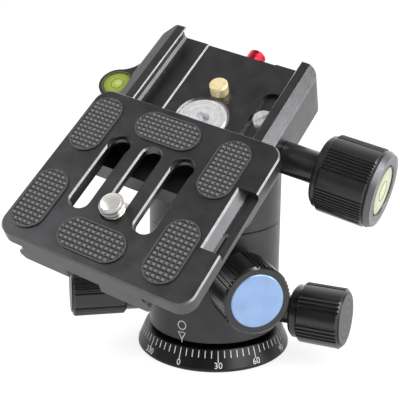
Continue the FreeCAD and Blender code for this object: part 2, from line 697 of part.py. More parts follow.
def clamp_bed():
    """Fixed jaw, floor and level lug in one piece."""
    rail_top_x = RAIL_EDGE_X + CHANNEL_DEPTH
    fixed_jaw = [(-x, z) for x, z in jaw_profile()]
    section = [(JAW_SEAM_X, -CLAMP_THICKNESS), (JAW_SEAM_X, -CHANNEL_DEPTH), (-RAIL_EDGE_X, -CHANNEL_DEPTH),
               (-rail_top_x, 0)] + fixed_jaw
    body = rail(section, -CLAMP_HALF_LENGTH, CLAMP_HALF_LENGTH).fuse(level_lug())
    body = body.cut([corner_wedge(1), corner_wedge(-1), underside_slopes()])
    body = body.cut(cylinder(LEVEL_R, LEVEL_BOTTOM, LEVEL_TOP + 1, LUG_X, LUG_Y))
    disc_top = -CHANNEL_DEPTH - CENTRE_DISC_DROP
    seat_r = CENTRE_DISC_R + CENTRE_DISC_GAP
    body = body.cut(turned([(0, disc_top - CENTRE_DISC_THICKNESS), (seat_r, disc_top - CENTRE_DISC_THICKNESS),
                            (seat_r, -CHANNEL_DEPTH - CENTRE_RING_CHAMFER),
                            (seat_r + CENTRE_RING_CHAMFER, -CHANNEL_DEPTH), (seat_r, 1), (0, 1)]))
    body = body.cut(cylinder(CENTRE_SHANK_R, -CLAMP_THICKNESS - 1, 0))
    body = body.cut(cylinder(PIN_R + TURN_GAP, PIN_FLOOR, 1, PIN_X, PIN_Y))
    body = body.cut(button_bore())
    body = body.cut(clamp_spindle())
    return body.cut(jaw_guide_rods())


def button_bore():
    bore = Part.makeCylinder(BUTTON_R + TURN_GAP, CLAMP_HALF_LENGTH + 1 - BUTTON_HOLE_Y,
                             V(BUTTON_X, BUTTON_HOLE_Y, BUTTON_Z), V(0, 1, 0))
    return bore


def clamp_spindle():
    rod = turned([(0, CLAMP_SPINDLE_START), (CLAMP_SPINDLE_R, CLAMP_SPINDLE_START),
                  (CLAMP_SPINDLE_R, CLAMP_SPINDLE_END - 0.5), (CLAMP_SPINDLE_R - 0.5, CLAMP_SPINDLE_END),
                  (0, CLAMP_SPINDLE_END)])
    return along_x(rod, SPINDLE_AXIS_Z)


def jaw_guide_rods():
    rods = []
    for y in (-GUIDE_ROD_Y, GUIDE_ROD_Y):
        rod = along_x(cylinder(GUIDE_ROD_R, GUIDE_ROD_START, GUIDE_ROD_END), SPINDLE_AXIS_Z)
        rods.append(placed(rod, FreeCAD.Placement(V(0, y, 0), FreeCAD.Rotation())))
    return Part.makeCompound(rods)


def centre_screw():
    """Silver screw that holds the clamp on the stem."""
    top = -CHANNEL_DEPTH - CENTRE_DISC_DROP
    bottom = top - CENTRE_DISC_THICKNESS
    tip = -CLAMP_THICKNESS - SLIDE_GAP - STEM_BORE_DEPTH + 0.5
    body = turned([(0, tip), (CENTRE_SHANK_R, tip), (CENTRE_SHANK_R, bottom), (CENTRE_DISC_R, bottom),
                   (CENTRE_DISC_R, top - 0.4), (CENTRE_DISC_R - 0.4, top), (0, top)])
    return body.cut(hexagon(CENTRE_HEX, top - CENTRE_HEX_DEPTH, top + 1))


def lug_level():
    vial = cylinder(LEVEL_R, LEVEL_BOTTOM, LEVEL_TOP, LUG_X, LUG_Y)
    top_edge = [e for e in vial.Edges if e.BoundBox.ZMin > LEVEL_TOP - 0.01]
    return vial.makeChamfer(0.3, top_edge)


def movable_jaw():
    inner = JAW_SEAM_X + SLIDE_GAP
    section = [(inner, -CLAMP_THICKNESS), (inner, 0)] + jaw_profile()
    body = rail(section, -CLAMP_HALF_LENGTH, CLAMP_HALF_LENGTH)
    rounded = rounded_block(0, CLAMP_HALF_WIDTH, -CLAMP_HALF_LENGTH, CLAMP_HALF_LENGTH,
                            -CLAMP_THICKNESS, JAW_TOP, JAW_CORNER_R)
    flat_side = block(0, JAW_CORNER_R, -CLAMP_HALF_LENGTH, CLAMP_HALF_LENGTH, -CLAMP_THICKNESS, JAW_TOP)
    body = body.common(rounded.fuse(flat_side)).cut(underside_slopes())
    pocket = stadium(JAW_POCKET_X, JAW_POCKET_START, JAW_POCKET_END, JAW_POCKET_HALF_WIDTH,
                     -JAW_POCKET_DEPTH, 1)
    body = body.cut(pocket)
    body = body.cut(jaw_screws())
    bore = along_x(cylinder(CLAMP_SPINDLE_R + TURN_GAP, 0, CLAMP_HALF_WIDTH + 2), SPINDLE_AXIS_Z)
    body = body.cut(bore)
    for y in (-GUIDE_ROD_Y, GUIDE_ROD_Y):
        hole = along_x(cylinder(GUIDE_ROD_R + TURN_GAP, 0, GUIDE_ROD_END + 0.6), SPINDLE_AXIS_Z)
        body = body.cut(placed(hole, FreeCAD.Placement(V(0, y, 0), FreeCAD.Rotation())))
    return body


def jaw_screws():
    """Two slotted screws in the movable jaw's long pocket."""
    top = JAW_SCREW_HEAD - JAW_POCKET_DEPTH
    foot = -JAW_POCKET_DEPTH - JAW_SCREW_LENGTH
    screw = turned([(0, foot), (JAW_SCREW_SHANK_R, foot), (JAW_SCREW_SHANK_R, -JAW_POCKET_DEPTH),
                    (JAW_SCREW_R, -JAW_POCKET_DEPTH), (JAW_SCREW_R, top - 0.3), (JAW_SCREW_R - 0.3, top),
                    (0, top)])
    half = JAW_SCREW_SLOT / 2
    screw = screw.cut(block(-JAW_SCREW_R, JAW_SCREW_R, -half, half, top - JAW_SCREW_SLOT_DEPTH, top + 1))
    turn = FreeCAD.Rotation(UP, JAW_SCREW_SLOT_ANGLE)
    screws = [placed(screw, FreeCAD.Placement(V(JAW_POCKET_X, y, 0), turn))
              for y in (-JAW_SCREW_Y, JAW_SCREW_Y)]
    return Part.makeCompound(screws)


def safety_pin():
    top = PIN_RISE
    body = turned([(PIN_HOLLOW_R, PIN_BOTTOM), (PIN_R, PIN_BOTTOM), (PIN_R, top - 0.4), (PIN_R - 0.4, top),
                   (0, top), (0, PIN_HOLLOW_TOP), (PIN_HOLLOW_R, PIN_HOLLOW_TOP)])
    return placed(body, FreeCAD.Placement(V(PIN_X, PIN_Y, 0), FreeCAD.Rotation()))


def pin_spring():
    top = PIN_HOLLOW_TOP - PIN_TRAVEL - FREE_GAP
    return tube(PIN_SPRING_R, PIN_SPRING_R - PIN_SPRING_WALL, PIN_FLOOR, top, PIN_X, PIN_Y)


def along_y(shape, x, z, start):
    """Turn a part made along Z so that it lies along Y."""
    turn = FreeCAD.Rotation(V(1, 0, 0), -90)
    return placed(shape, FreeCAD.Placement(V(x, start, z), turn))


def release_button():
    end = CLAMP_HALF_LENGTH + BUTTON_REACH
    hollow = BUTTON_HOLLOW_END - BUTTON_INNER_Y
    length = end - BUTTON_INNER_Y
    body = turned([(PIN_HOLLOW_R, 0), (BUTTON_R, 0), (BUTTON_R, length - 0.5), (BUTTON_R - 0.5, length),
                   (0, length), (0, hollow), (PIN_HOLLOW_R, hollow)])
    return along_y(body, BUTTON_X, BUTTON_Z, BUTTON_INNER_Y)


def button_spring():
    length = BUTTON_HOLLOW_END - BUTTON_TRAVEL - FREE_GAP - BUTTON_HOLE_Y
    spring = tube(PIN_SPRING_R, PIN_SPRING_R - PIN_SPRING_WALL, 0, length)
    return along_y(spring, BUTTON_X, BUTTON_Z, BUTTON_HOLE_Y)


# Clamp knob, along the clamp's X axis

def clamp_knob_neck():
    start = CLAMP_HALF_WIDTH + SLIDE_GAP
    bore = CLAMP_SPINDLE_R + TURN_GAP
    body = turned([(bore, start), (CLAMP_NECK_R, start), (CLAMP_NECK_R, CLAMP_COLLAR_START),
                   (CLAMP_COLLAR_R - 0.8, CLAMP_COLLAR_START), (CLAMP_COLLAR_R, CLAMP_COLLAR_START + 0.8),
                   (CLAMP_COLLAR_R, CLAMP_GRIP_START), (bore, CLAMP_GRIP_START)])
    return along_x(body, SPINDLE_AXIS_Z)


def clamp_knob_grip():
    body = grip(CLAMP_GRIP_R, CLAMP_GRIP_START, CLAMP_GRIP_END, 7, CLAMP_SPINDLE_R + TURN_GAP)
    plug = cylinder(CLAMP_SPINDLE_R + 1, CLAMP_SPINDLE_END + FREE_GAP, CLAMP_GRIP_END)
    body = body.fuse(plug).cut(cylinder(KNOB_LEVEL_R, KNOB_LEVEL_START, CLAMP_GRIP_END + 1))
    return along_x(body.removeSplitter(), SPINDLE_AXIS_Z)


def clamp_knob_bezel():
    body = turned([(KNOB_LEVEL_R, CLAMP_GRIP_END), (CLAMP_GRIP_R - GRIP_CHAMFER, CLAMP_GRIP_END),
                   (CLAMP_GRIP_R - 0.2, CLAMP_GRIP_END + 0.5), (CLAMP_BEZEL_RIM_R, CLAMP_BEZEL_END),
                   (KNOB_LEVEL_R + 0.5, CLAMP_BEZEL_END), (KNOB_LEVEL_R, CLAMP_BEZEL_END - 0.5)])
    return along_x(body, SPINDLE_AXIS_Z)


def knob_level():
    return along_x(cylinder(KNOB_LEVEL_R, KNOB_LEVEL_START, KNOB_LEVEL_END), SPINDLE_AXIS_Z)


# Camera plate

def plate_slot(x):
    hole = stadium(x, SLOT_FRONT, SLOT_REAR, SLOT_HALF_WIDTH, PLATE_BOTTOM - 1, PLATE_TOP + 1)
    wide = SLOT_HALF_WIDTH + SLOT_EDGE_CHAMFER
    top_rim = stadium(x, SLOT_FRONT - SLOT_EDGE_CHAMFER, SLOT_REAR + SLOT_EDGE_CHAMFER, wide,
                      PLATE_TOP - SLOT_EDGE_CHAMFER, PLATE_TOP + 1)
    lower = [e for e in top_rim.Edges
             if abs(e.BoundBox.ZMax - (PLATE_TOP - SLOT_EDGE_CHAMFER)) < 0.01]
    return hole.fuse(top_rim.makeChamfer(SLOT_EDGE_CHAMFER * 0.98, lower))


def slot_pocket(x):
    """Wider round seat at the rear end of an outer slot."""
    return cylinder(SLOT_POCKET_R, PLATE_TOP - SLOT_POCKET_DEPTH, PLATE_TOP + 1, x,
                    SLOT_REAR - SLOT_HALF_WIDTH)


def screw_pocket():
    """Hollow under the slots where the camera screw's head slides."""
    return rounded_block(-POCKET_HALF_WIDTH, POCKET_HALF_WIDTH, POCKET_FRONT, POCKET_REAR,
                         PLATE_BOTTOM - 1, POCKET_CEILING, SLOT_HALF_WIDTH)


def strap_notch():
    """Notch in the right-hand edge with a slanted inner wall and a groove at its foot."""
    floor = PLATE_TOP - STRAP_NOTCH_DEPTH
    groove = floor - STRAP_GROOVE_DEPTH
    outside = PLATE_RIGHT + 1
    profile = [(STRAP_NOTCH_INNER_X - 1, PLATE_TOP + 1), (STRAP_SLOT_X - STRAP_SLOT_HALF_WIDTH, floor),
               (STRAP_SLOT_X - STRAP_SLOT_HALF_WIDTH, groove), (STRAP_SLOT_X + STRAP_SLOT_HALF_WIDTH, groove),
               (STRAP_SLOT_X + STRAP_SLOT_HALF_WIDTH, floor), (outside, floor), (outside, PLATE_TOP + 1)]
    return rail(profile, STRAP_NOTCH_FRONT, STRAP_NOTCH_REAR)


def qr_plate():
    flange = rounded_block(PLATE_LEFT, PLATE_RIGHT, PLATE_FRONT, PLATE_REAR, PLATE_FLANGE_BOTTOM,
                           PLATE_TOP, PLATE_CORNER_R)
    top_edges = [e for e in flange.Edges if abs(e.BoundBox.ZMin - PLATE_TOP) < 0.01]
    flange = flange.makeChamfer(PLATE_EDGE_CHAMFER, top_edges)
    shoulder_rise = DOVETAIL_HALF_WIDTH - DOVETAIL_NECK_HALF_WIDTH
    foot_rise = PLATE_BOTTOM + DOVETAIL_FOOT_CHAMFER
    half = [(DOVETAIL_HALF_WIDTH - DOVETAIL_FOOT_CHAMFER, PLATE_BOTTOM), (DOVETAIL_HALF_WIDTH, foot_rise),
            (DOVETAIL_HALF_WIDTH, DOVETAIL_SHOULDER),
            (DOVETAIL_NECK_HALF_WIDTH, DOVETAIL_SHOULDER + shoulder_rise),
            (DOVETAIL_NECK_HALF_WIDTH, PLATE_FLANGE_BOTTOM)]
    profile = half + [(-x, z) for x, z in reversed(half)]
    dovetail = rail(profile, PLATE_FRONT, PLATE_REAR)
    body = flange.fuse(dovetail)
    groove = block(-PLATE_GROOVE_HALF_WIDTH, PLATE_GROOVE_HALF_WIDTH, PLATE_FRONT - 1, PLATE_REAR + 1,
                   PLATE_BOTTOM - 1, PLATE_GROOVE_TOP)
    body = body.cut([groove, screw_pocket()])
    for x in (-SLOT_PITCH, 0.0, SLOT_PITCH):
        body = body.cut(plate_slot(x))
    for x in (-SLOT_PITCH, SLOT_PITCH):
        body = body.cut(slot_pocket(x))
    strap_slot = stadium(STRAP_SLOT_X, STRAP_SLOT_FRONT, STRAP_SLOT_REAR, STRAP_SLOT_HALF_WIDTH,
                         PLATE_FLANGE_BOTTOM - 1, PLATE_TOP)
    body = body.cut([strap_notch(), strap_slot])
    for pad in PADS.values():
        body = body.cut(pad_oval(pad, PLATE_TOP - PAD_SINK, PLATE_TOP + 1))
    return body.cut(stop_screws()).removeSplitter()


# Each pad's centre, and whether its long side runs along the plate's Y
PADS = {"pad_left_rear": (PAD_LEFT_X, PAD_REAR_Y, True),
        "pad_left_front": (PAD_LEFT_X, PAD_FRONT_Y, True),
        "pad_right_rear": (PAD_RIGHT_X, PAD_REAR_Y, True),
        "pad_right_front": (PAD_RIGHT_X, PAD_FRONT_Y, True),
        "pad_middle_rear": (0.0, PAD_MIDDLE_REAR_Y, False),
        "pad_middle_front": (0.0, PAD_MIDDLE_FRONT_Y, False)}


def pad_oval(pad, bottom, top):
    x, y, lengthwise = pad
    oval = stadium(0, -PAD_HALF_LONG, PAD_HALF_LONG, PAD_HALF_SHORT, bottom, top)
    turn = FreeCAD.Rotation(UP, 0 if lengthwise else 90)
    return placed(oval, FreeCAD.Placement(V(x, y, 0), turn))


def rubber_pad(pad):
    top = PLATE_TOP + PAD_RISE
    body = pad_oval(pad, PLATE_TOP - PAD_SINK, top)
    edges = [e for e in body.Edges if abs(e.BoundBox.ZMin - top) < 0.01]
    return body.makeChamfer(PAD_EDGE_CHAMFER, edges)


def camera_screw():
    tip = PLATE_TOP + SCREW_REACH
    thread_start = PLATE_TOP + SCREW_THREAD_LIFT
    body = turned([(0, SCREW_HEAD_BOTTOM), (SCREW_HEAD_R, SCREW_HEAD_BOTTOM), (SCREW_HEAD_R, SCREW_HEAD_TOP),
                   (SCREW_NECK_R, SCREW_HEAD_TOP), (SCREW_NECK_R, thread_start),
                   (SCREW_THREAD_R, thread_start), (SCREW_THREAD_R, tip - SCREW_TIP_CHAMFER),
                   (SCREW_THREAD_R - SCREW_TIP_CHAMFER, tip), (0, tip)])
    half = SCREW_COIN_SLOT / 2
    body = body.cut(block(-SCREW_HEAD_R, SCREW_HEAD_R, -half, half, SCREW_HEAD_BOTTOM - 1,
                          SCREW_HEAD_BOTTOM + SCREW_COIN_SLOT_DEPTH))
    return placed(body, FreeCAD.Placement(V(0, SCREW_Y, 0), FreeCAD.Rotation()))


def stop_screws():
    """Two small screws under the plate that meet the safety pin before the plate slides out."""
    top = PLATE_GROOVE_TOP + STOP_SCREW_DEPTH
    body = turned([(0, STOP_SCREW_BOTTOM), (STOP_SCREW_R, STOP_SCREW_BOTTOM),
                   (STOP_SCREW_R, PLATE_GROOVE_TOP), (STOP_SCREW_SHANK_R, PLATE_GROOVE_TOP),
                   (STOP_SCREW_SHANK_R, top), (0, top)])
    screws = [placed(body, FreeCAD.Placement(V(0, PLATE_MIDDLE + y, 0), FreeCAD.Rotation()))
              for y in (-STOP_SCREW_OFFSET, STOP_SCREW_OFFSET)]
    return Part.makeCompound(screws)


def screw_washer():
    return tube(SCREW_WASHER_R, SCREW_NECK_R + TURN_GAP, SCREW_WASHER_BOTTOM, SCREW_WASHER_TOP, 0, SCREW_Y)


def housing_nodes():
    nodes = {"dial_ring": dial_ring(), "base_disc": base_disc(), "thread_bush": thread_bush(),
             "pan_retainer": pan_retainer(), "retainer_screws": retainer_screws(),
             "pan_washer": pan_washer(), "housing_body": housing_body(), "top_collar": top_collar(),
             "seat_liner": seat_liner(), "ball_cup": ball_cup(), "cup_spring": cup_spring(),
             "lift_cone": lift_cone(), "main_lock_tip": main_lock_tip(), "friction_tip": friction_tip(),
             "pan_lock_shoe": pan_lock_shoe(), "ball": ball(), "stem": stem()}
    for name, knob in (("main", MAIN_KNOB), ("friction", FRICTION_KNOB), ("pan", PAN_KNOB)):
        nodes[name + "_bush"] = knob_bush(knob["azimuth"], knob["height"])
        nodes[name + "_knob_screw"] = knob_screw(knob)
        nodes[name + "_knob_grip"] = knob_grip(knob)
        nodes[name + "_knob_cap"] = knob_cap(knob)
    return nodes


def clamp_nodes():
    nodes = {"clamp_bed": clamp_bed(), "centre_screw": centre_screw(), "lug_level": lug_level(),
             "clamp_spindle": clamp_spindle(), "jaw_guide_rods": jaw_guide_rods(),
             "pin_spring": pin_spring(), "button_spring": button_spring(),
             "movable_jaw": movable_jaw(), "jaw_screws": jaw_screws(),
             "safety_pin": safety_pin(), "release_button": release_button(),
             "clamp_knob_neck": clamp_knob_neck(), "clamp_knob_grip": clamp_knob_grip(),
             "clamp_knob_bezel": clamp_knob_bezel(), "knob_level": knob_level(),
             "qr_plate": qr_plate(), "camera_screw": camera_screw(), "screw_washer": screw_washer(),
             "stop_screws": stop_screws()}
    for name, pad in PADS.items():
        nodes[name] = rubber_pad(pad)
    frame = clamp_frame()
    return {name: placed(shape, frame) for name, shape in nodes.items()}


def main():
    os.makedirs("parts", exist_ok=True)
    nodes = housing_nodes()
    nodes.update(clamp_nodes())
    for name, shape in nodes.items():
        shape.exportStep("parts/" + name + ".step")
    print(len(nodes), "nodes")


main()
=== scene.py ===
import json
import math

import bmesh
import bpy
from bpy.props import FloatProperty, FloatVectorProperty, IntProperty, PointerProperty
from bpy.types import Operator, Panel, PropertyGroup
from mathutils import Matrix, Vector


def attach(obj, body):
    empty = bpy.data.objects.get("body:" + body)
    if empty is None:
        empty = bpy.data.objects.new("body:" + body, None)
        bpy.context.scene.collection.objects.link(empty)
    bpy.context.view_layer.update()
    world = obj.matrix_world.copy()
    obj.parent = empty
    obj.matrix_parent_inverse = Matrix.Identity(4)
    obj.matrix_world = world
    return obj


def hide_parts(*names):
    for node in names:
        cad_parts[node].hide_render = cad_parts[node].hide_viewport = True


bl_info = {
    "name": "Ball Head Dressing",
    "version": (1, 0, 0),
    "blender": (4, 5, 0),
    "location": "3D View > Sidebar > Ball Head",
    "description": "Finishes, dial marks, rubber treads, threads and levels for a tripod ball head",
    "category": "Object",
}

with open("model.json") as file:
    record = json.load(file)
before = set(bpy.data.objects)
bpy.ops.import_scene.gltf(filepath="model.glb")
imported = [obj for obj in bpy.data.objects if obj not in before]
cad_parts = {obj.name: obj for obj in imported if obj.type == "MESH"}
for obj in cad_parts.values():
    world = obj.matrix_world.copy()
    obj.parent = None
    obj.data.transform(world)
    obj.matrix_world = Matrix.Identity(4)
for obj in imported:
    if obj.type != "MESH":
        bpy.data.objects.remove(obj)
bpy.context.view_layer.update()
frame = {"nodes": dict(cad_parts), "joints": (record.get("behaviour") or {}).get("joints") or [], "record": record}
NODES = frame["nodes"]
MOUNTS = {mount["name"]: mount for mount in frame["record"]["mounts"]}
JOINTS = {joint["name"]: joint for joint in frame["joints"]}
MM = 0.001
UP = Vector((0, 0, 1))

# Places on the object, in millimetres, which the frame doesn't give
DIAL_TOP = (20.6, 6.1)         # radius and height of the sloping dial face's upper edge
DIAL_RIM = (22.8, 1.0)         # and of its lower edge
HOUSING_RADIUS = 19.4
HOUSING_FOOT = 6.65
KNOB_LEVEL_PLACE = (52.4, 0.0, -5.4)   # face of the knob's level in the clamp's frame
LUG_LEVEL_PLACE = (-26.8, 0.0, 2.6)    # top of the lug's level in the clamp's frame
PLATE_EDGE_FOOT = 9.72         # lower end of the plate's painted bevel highlights, in the clamp's frame
JAW_LIP_HEIGHT = 4.2
JAW_LIP_REACH = 0.4            # how far above and below that height the lip's painted bevel highlight goes
SLOT_FIELD_HALF_WIDTH = 13.0   # painted bevel highlights nearer to the middle than this show at any height
SLOPE_TOLERANCE = 0.05         # on the cosine of a highlighted bevel's 45 degrees
CAMERA_SCREW_Y = -41.15
TURN_STEPS = 64


def linear(code):
    """Linear RGBA from an sRGB hex value such as #3A3A3C."""
    parts = [int(code[i:i + 2], 16) / 255 for i in (1, 3, 5)]
    return [p / 12.92 if p <= 0.04045 else ((p + 0.055) / 1.055) ** 2.4 for p in parts] + [1.0]


def colour_setting(name, description, code):
    return FloatVectorProperty(name=name, description=description, subtype="COLOR", size=4,
                               min=0.0, max=1.0, default=linear(code))


def length_setting(name, description, millimetres):
    return FloatProperty(name=name, description=description, unit="LENGTH", min=0.0,
                         default=millimetres * MM)


class BallHeadSizes(PropertyGroup):
    """Sizes that a user would change."""

    tick_width: length_setting("Tick width", "Width of the dial's engraved lines", 0.23)
    tick_length: length_setting("Short tick", "Length of the five degree lines", 2.1)
    long_tick_length: length_setting("Long tick", "Length of the thirty degree lines", 3.3)
    figure_height: length_setting("Figure height", "Height of the dial's numbers", 1.8)
    mark_relief: length_setting("Mark relief", "How far the filled marks stand out", 0.03)
    stud_pitch: length_setting("Stud pitch", "Spacing of the studs on the rubber pads", 1.35)
    stud_height: length_setting("Stud height", "Height of the studs on the rubber pads", 0.28)
    thread_pitch: length_setting("Thread pitch", "Pitch of the camera screw, 20 to the inch", 1.27)
    tick_step: IntProperty(name="Tick step", description="Degrees between the dial's lines",
                           default=5, min=1)
    figure_step: IntProperty(name="Figure step", description="Degrees between its numbers",
                             default=30, min=5)


class BallHeadColours(PropertyGroup):
    """Colours that a user would change."""

    black: colour_setting("Black", "Dyed anodised aluminium", "#5D5C5E")
    black_worn: colour_setting("Worn black", "Where the dye is thinner", "#686769")
    knob_black: colour_setting("Knob black", "Deeper dye on the knobs", "#202021")
    knob_black_worn: colour_setting("Worn knob black", "Where a knob's dye is thinner", "#262527")
    # painted highlight: this pale colour on the 45 degree bevels stands in for the lamps' reflection; the bevels
    # are black anodised like the rest
    bare: colour_setting("Bare edge", "Machined edge cut after anodising", "#E0E0E2")
    blue: colour_setting("Blue", "Dyed disc in the main knob", "#A8C7F4")
    rubber: colour_setting("Rubber", "Moulded pads", "#29282A")
    liquid: colour_setting("Level liquid", "Dyed spirit in the knob's level", "#C4CD88")
    lug_liquid: colour_setting("Lug level liquid", "Dyed spirit in the lug's level", "#99A548")
    red: colour_setting("Red", "Dyed release button", "#C8283C")
    gold: colour_setting("Gold", "Brass safety pin", "#EEDFB2")
    mark: colour_setting("Mark", "Paint in the dial's lines", "#F4F4F2")


# Mesh helpers

def deselect():
    for item in bpy.context.selected_objects:
        item.select_set(False)


def take(item):
    """Make one object the only selected and active one."""
    deselect()
    item.select_set(True)
    bpy.context.view_layer.objects.active = item
    return item


def settle(item, place):
    """Move a finished mesh to its place and leave its object at the origin."""
    take(item)
    item.matrix_world = place @ item.matrix_world
    bpy.ops.object.transform_apply(location=True, rotation=True, scale=True)
    return item


def join(items, name):
    take(items[0])
    for item in items[1:]:
        item.select_set(True)
    if len(items) > 1:
        bpy.ops.object.join()
    whole = bpy.context.view_layer.objects.active
    whole.name = name
    whole.data.name = name
    return whole


def copy_of(item):
    twin = item.copy()
    twin.data = item.data.copy()
    bpy.context.scene.collection.objects.link(twin)
    return twin


def paint(item, material):
    item.data.materials.clear()
    item.data.materials.append(material)
    return item


def smooth(item, angle=35.0):
    take(item)
    bpy.ops.object.shade_smooth_by_angle(angle=math.radians(angle))
    return item


def carry(item, body, replaced=()):
    """Put a finished piece on a body, and hide the nodes it stands for."""
    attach(item, body)
    if replaced:
        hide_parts(*replaced)
    return item


def pick(item, test):
    """In edit mode, select only the faces whose middle and normal pass a test."""
    bpy.ops.mesh.select_mode(type="FACE")
    bpy.ops.mesh.select_all(action="DESELECT")
    mesh = bmesh.from_edit_mesh(item.data)
    for face in mesh.faces:
        face.select_set(test(face.calc_center_median(), face.normal))
    bmesh.update_edit_mesh(item.data)


def faces_up(height):
    """Test for faces that look up at one height."""
    return lambda middle, normal: normal.z > 0.9 and abs(middle.z - height) < 1e-6


def drum(radius, bottom, top, steps=TURN_STEPS):
    """A round bar to start a turned piece from, in millimetres."""
    bpy.ops.mesh.primitive_cylinder_add(vertices=steps, radius=radius * MM, depth=(top - bottom) * MM,
                                        location=(0, 0, (top + bottom) / 2 * MM))
    item = bpy.context.active_object
    bpy.ops.object.transform_apply(location=True, rotation=False, scale=False)
    return item


def apply_modifier(item, kind, **settings):
    take(item)
    modifier = item.modifiers.new(kind.title(), kind)
    for name, value in settings.items():
        setattr(modifier, name, value)
    bpy.ops.object.modifier_apply(modifier=modifier.name)
    return item


def recalculate(item):
    take(item)
    bpy.ops.object.mode_set(mode="EDIT")
    bpy.ops.mesh.select_all(action="SELECT")
    bpy.ops.mesh.remove_doubles(threshold=1e-7)
    bpy.ops.mesh.normals_make_consistent(inside=False)
    bpy.ops.object.mode_set(mode="OBJECT")
    return item


def axes_place(origin, across, along, out):
    """A matrix that puts local X, Y and Z on three directions at an origin."""
    return Matrix.Translation(origin) @ Matrix((across, along, out)).transposed().to_4x4()


def clamp_place(x=0.0, y=0.0, z=0.0):
    """The clamp's frame, X across, Y along the dovetail, Z out of its floor, moved in millimetres."""
    along = Vector(MOUNTS["dovetail_clamp"]["axis"])
    out = Vector(MOUNTS["plate_seat"]["axis"])
    base = axes_place(Vector(MOUNTS["dovetail_clamp"]["pos_m"]), along.cross(out), along, out)
    return base @ Matrix.Translation(Vector((x, y, z)) * MM)


def knob_place(joint):
    """Frame on a knob's axis, Z outwards and Y up."""
    out = Vector(JOINTS[joint]["axis"])
    return axes_place(Vector(JOINTS[joint]["pos_m"]), UP.cross(out), UP, out)


# Materials

def add_node(tree, kind, inputs=None, **settings):
    """Add a node, set its properties, and link or fill its inputs."""
    node = tree.nodes.new(kind)
    for name, value in settings.items():
        setattr(node, name, value)
    for key, value in (inputs or {}).items():
        if isinstance(value, bpy.types.NodeSocket):
            tree.links.new(value, node.inputs[key])
        else:
            node.inputs[key].default_value = value
    return node


def start_material(name):
    material = bpy.data.materials.new(name)
    material.use_nodes = True
    material.node_tree.nodes.clear()
    return material, material.node_tree


def end_material(tree, shader):
    add_node(tree, "ShaderNodeOutputMaterial", {"Surface": shader.outputs[0]})


def local_coordinates(tree, place):
    """Object coordinates turned into a piece's own frame, in metres."""
    coordinates = add_node(tree, "ShaderNodeTexCoord")
    turned = add_node(tree, "ShaderNodeMapping", {"Vector": coordinates.outputs["Object"],
                                                  "Location": place.to_translation(),
                                                  "Rotation": place.to_euler()}, vector_type="TEXTURE")
    return turned.outputs["Vector"]


def per_length(millimetres):
    """Texture scale that gives features of one length on coordinates in metres."""
    return 1.0 / (millimetres * MM)


WAVE_RADIANS = 20   # the wave texture runs through this many radians in one unit


def ring_scale(millimetres):
    """Wave texture scale at which its rings run through one radian in one length."""
    return per_length(millimetres) / WAVE_RADIANS


# The noise texture keeps mostly within these values
NOISE_LOW = 0.3
NOISE_HIGH = 0.7


def clouds(tree, vector, size, low, high, detail=3.0):
    """Soft noise of one feature size, mapped to a range."""
    noise = add_node(tree, "ShaderNodeTexNoise",
                     {"Vector": vector, "Scale": per_length(size), "Detail": detail})
    ranged = add_node(tree, "ShaderNodeMapRange",
                      {"Value": noise.outputs["Fac"], "From Min": NOISE_LOW, "From Max": NOISE_HIGH,
                       "To Min": low, "To Max": high})
    return ranged.outputs["Result"]


def blend_colours(tree, factor, first, second):
    mixed = add_node(tree, "ShaderNodeMix", {"Factor": factor, "A": first, "B": second}, data_type="RGBA")
    return mixed.outputs["Result"]


def anodised_black(name, place, colours, bevel_highlights, depth=1.0):
    """Anodised aluminium, fine blasted and dyed black: it mirrors softly, so it looks grey
    where it faces something bright. Where asked, faces bevelled at 45 degrees get a narrow painted highlight in a
    pale colour, though they are dyed black like the rest."""
    material, tree = start_material(name)
    vector = local_coordinates(tree, place)
    thick, thin = [tuple(depth * part for part in colour[:3]) + (1.0,)
                   for colour in (colours.black, colours.black_worn)]
    dye = blend_colours(tree, clouds(tree, vector, 9.0, 0.0, 1.0), thick, thin)
    gloss = clouds(tree, vector, 4.0, 0.33, 0.40)
    # The real grain is near 0.05 mm. It is drawn at 0.25 mm so that it shows.
    grain = clouds(tree, vector, 0.25, 0.0, 1.0, 1.0)
    bump = add_node(tree, "ShaderNodeBump", {"Height": grain, "Strength": 0.12, "Distance": 0.02 * MM})
    # painted highlight: the pale bevel colour is mixed into the black base colour
    if bevel_highlights:
        dye = blend_colours(tree, cut_edge_mask(tree, place, vector), dye, tuple(colours.bare))
    shader = add_node(tree, "ShaderNodeBsdfPrincipled",
                      {"Base Color": dye, "Roughness": gloss, "Metallic": 1.0,
                       "Normal": bump.outputs["Normal"]})
    end_material(tree, shader)
    return material


def knob_black(name, place, colours):
    """Knobs turned, knurled and dyed a deeper black, under a thin hard film that shines."""
    material, tree = start_material(name)
    vector = local_coordinates(tree, place)
    dye = blend_colours(tree, clouds(tree, vector, 5.0, 0.0, 1.0), tuple(colours.knob_black),
                        tuple(colours.knob_black_worn))
    gloss = clouds(tree, vector, 3.0, 0.20, 0.27)
    shader = add_node(tree, "ShaderNodeBsdfPrincipled",
                      {"Base Color": dye, "Roughness": gloss, "IOR": 1.65})
    end_material(tree, shader)
    return material


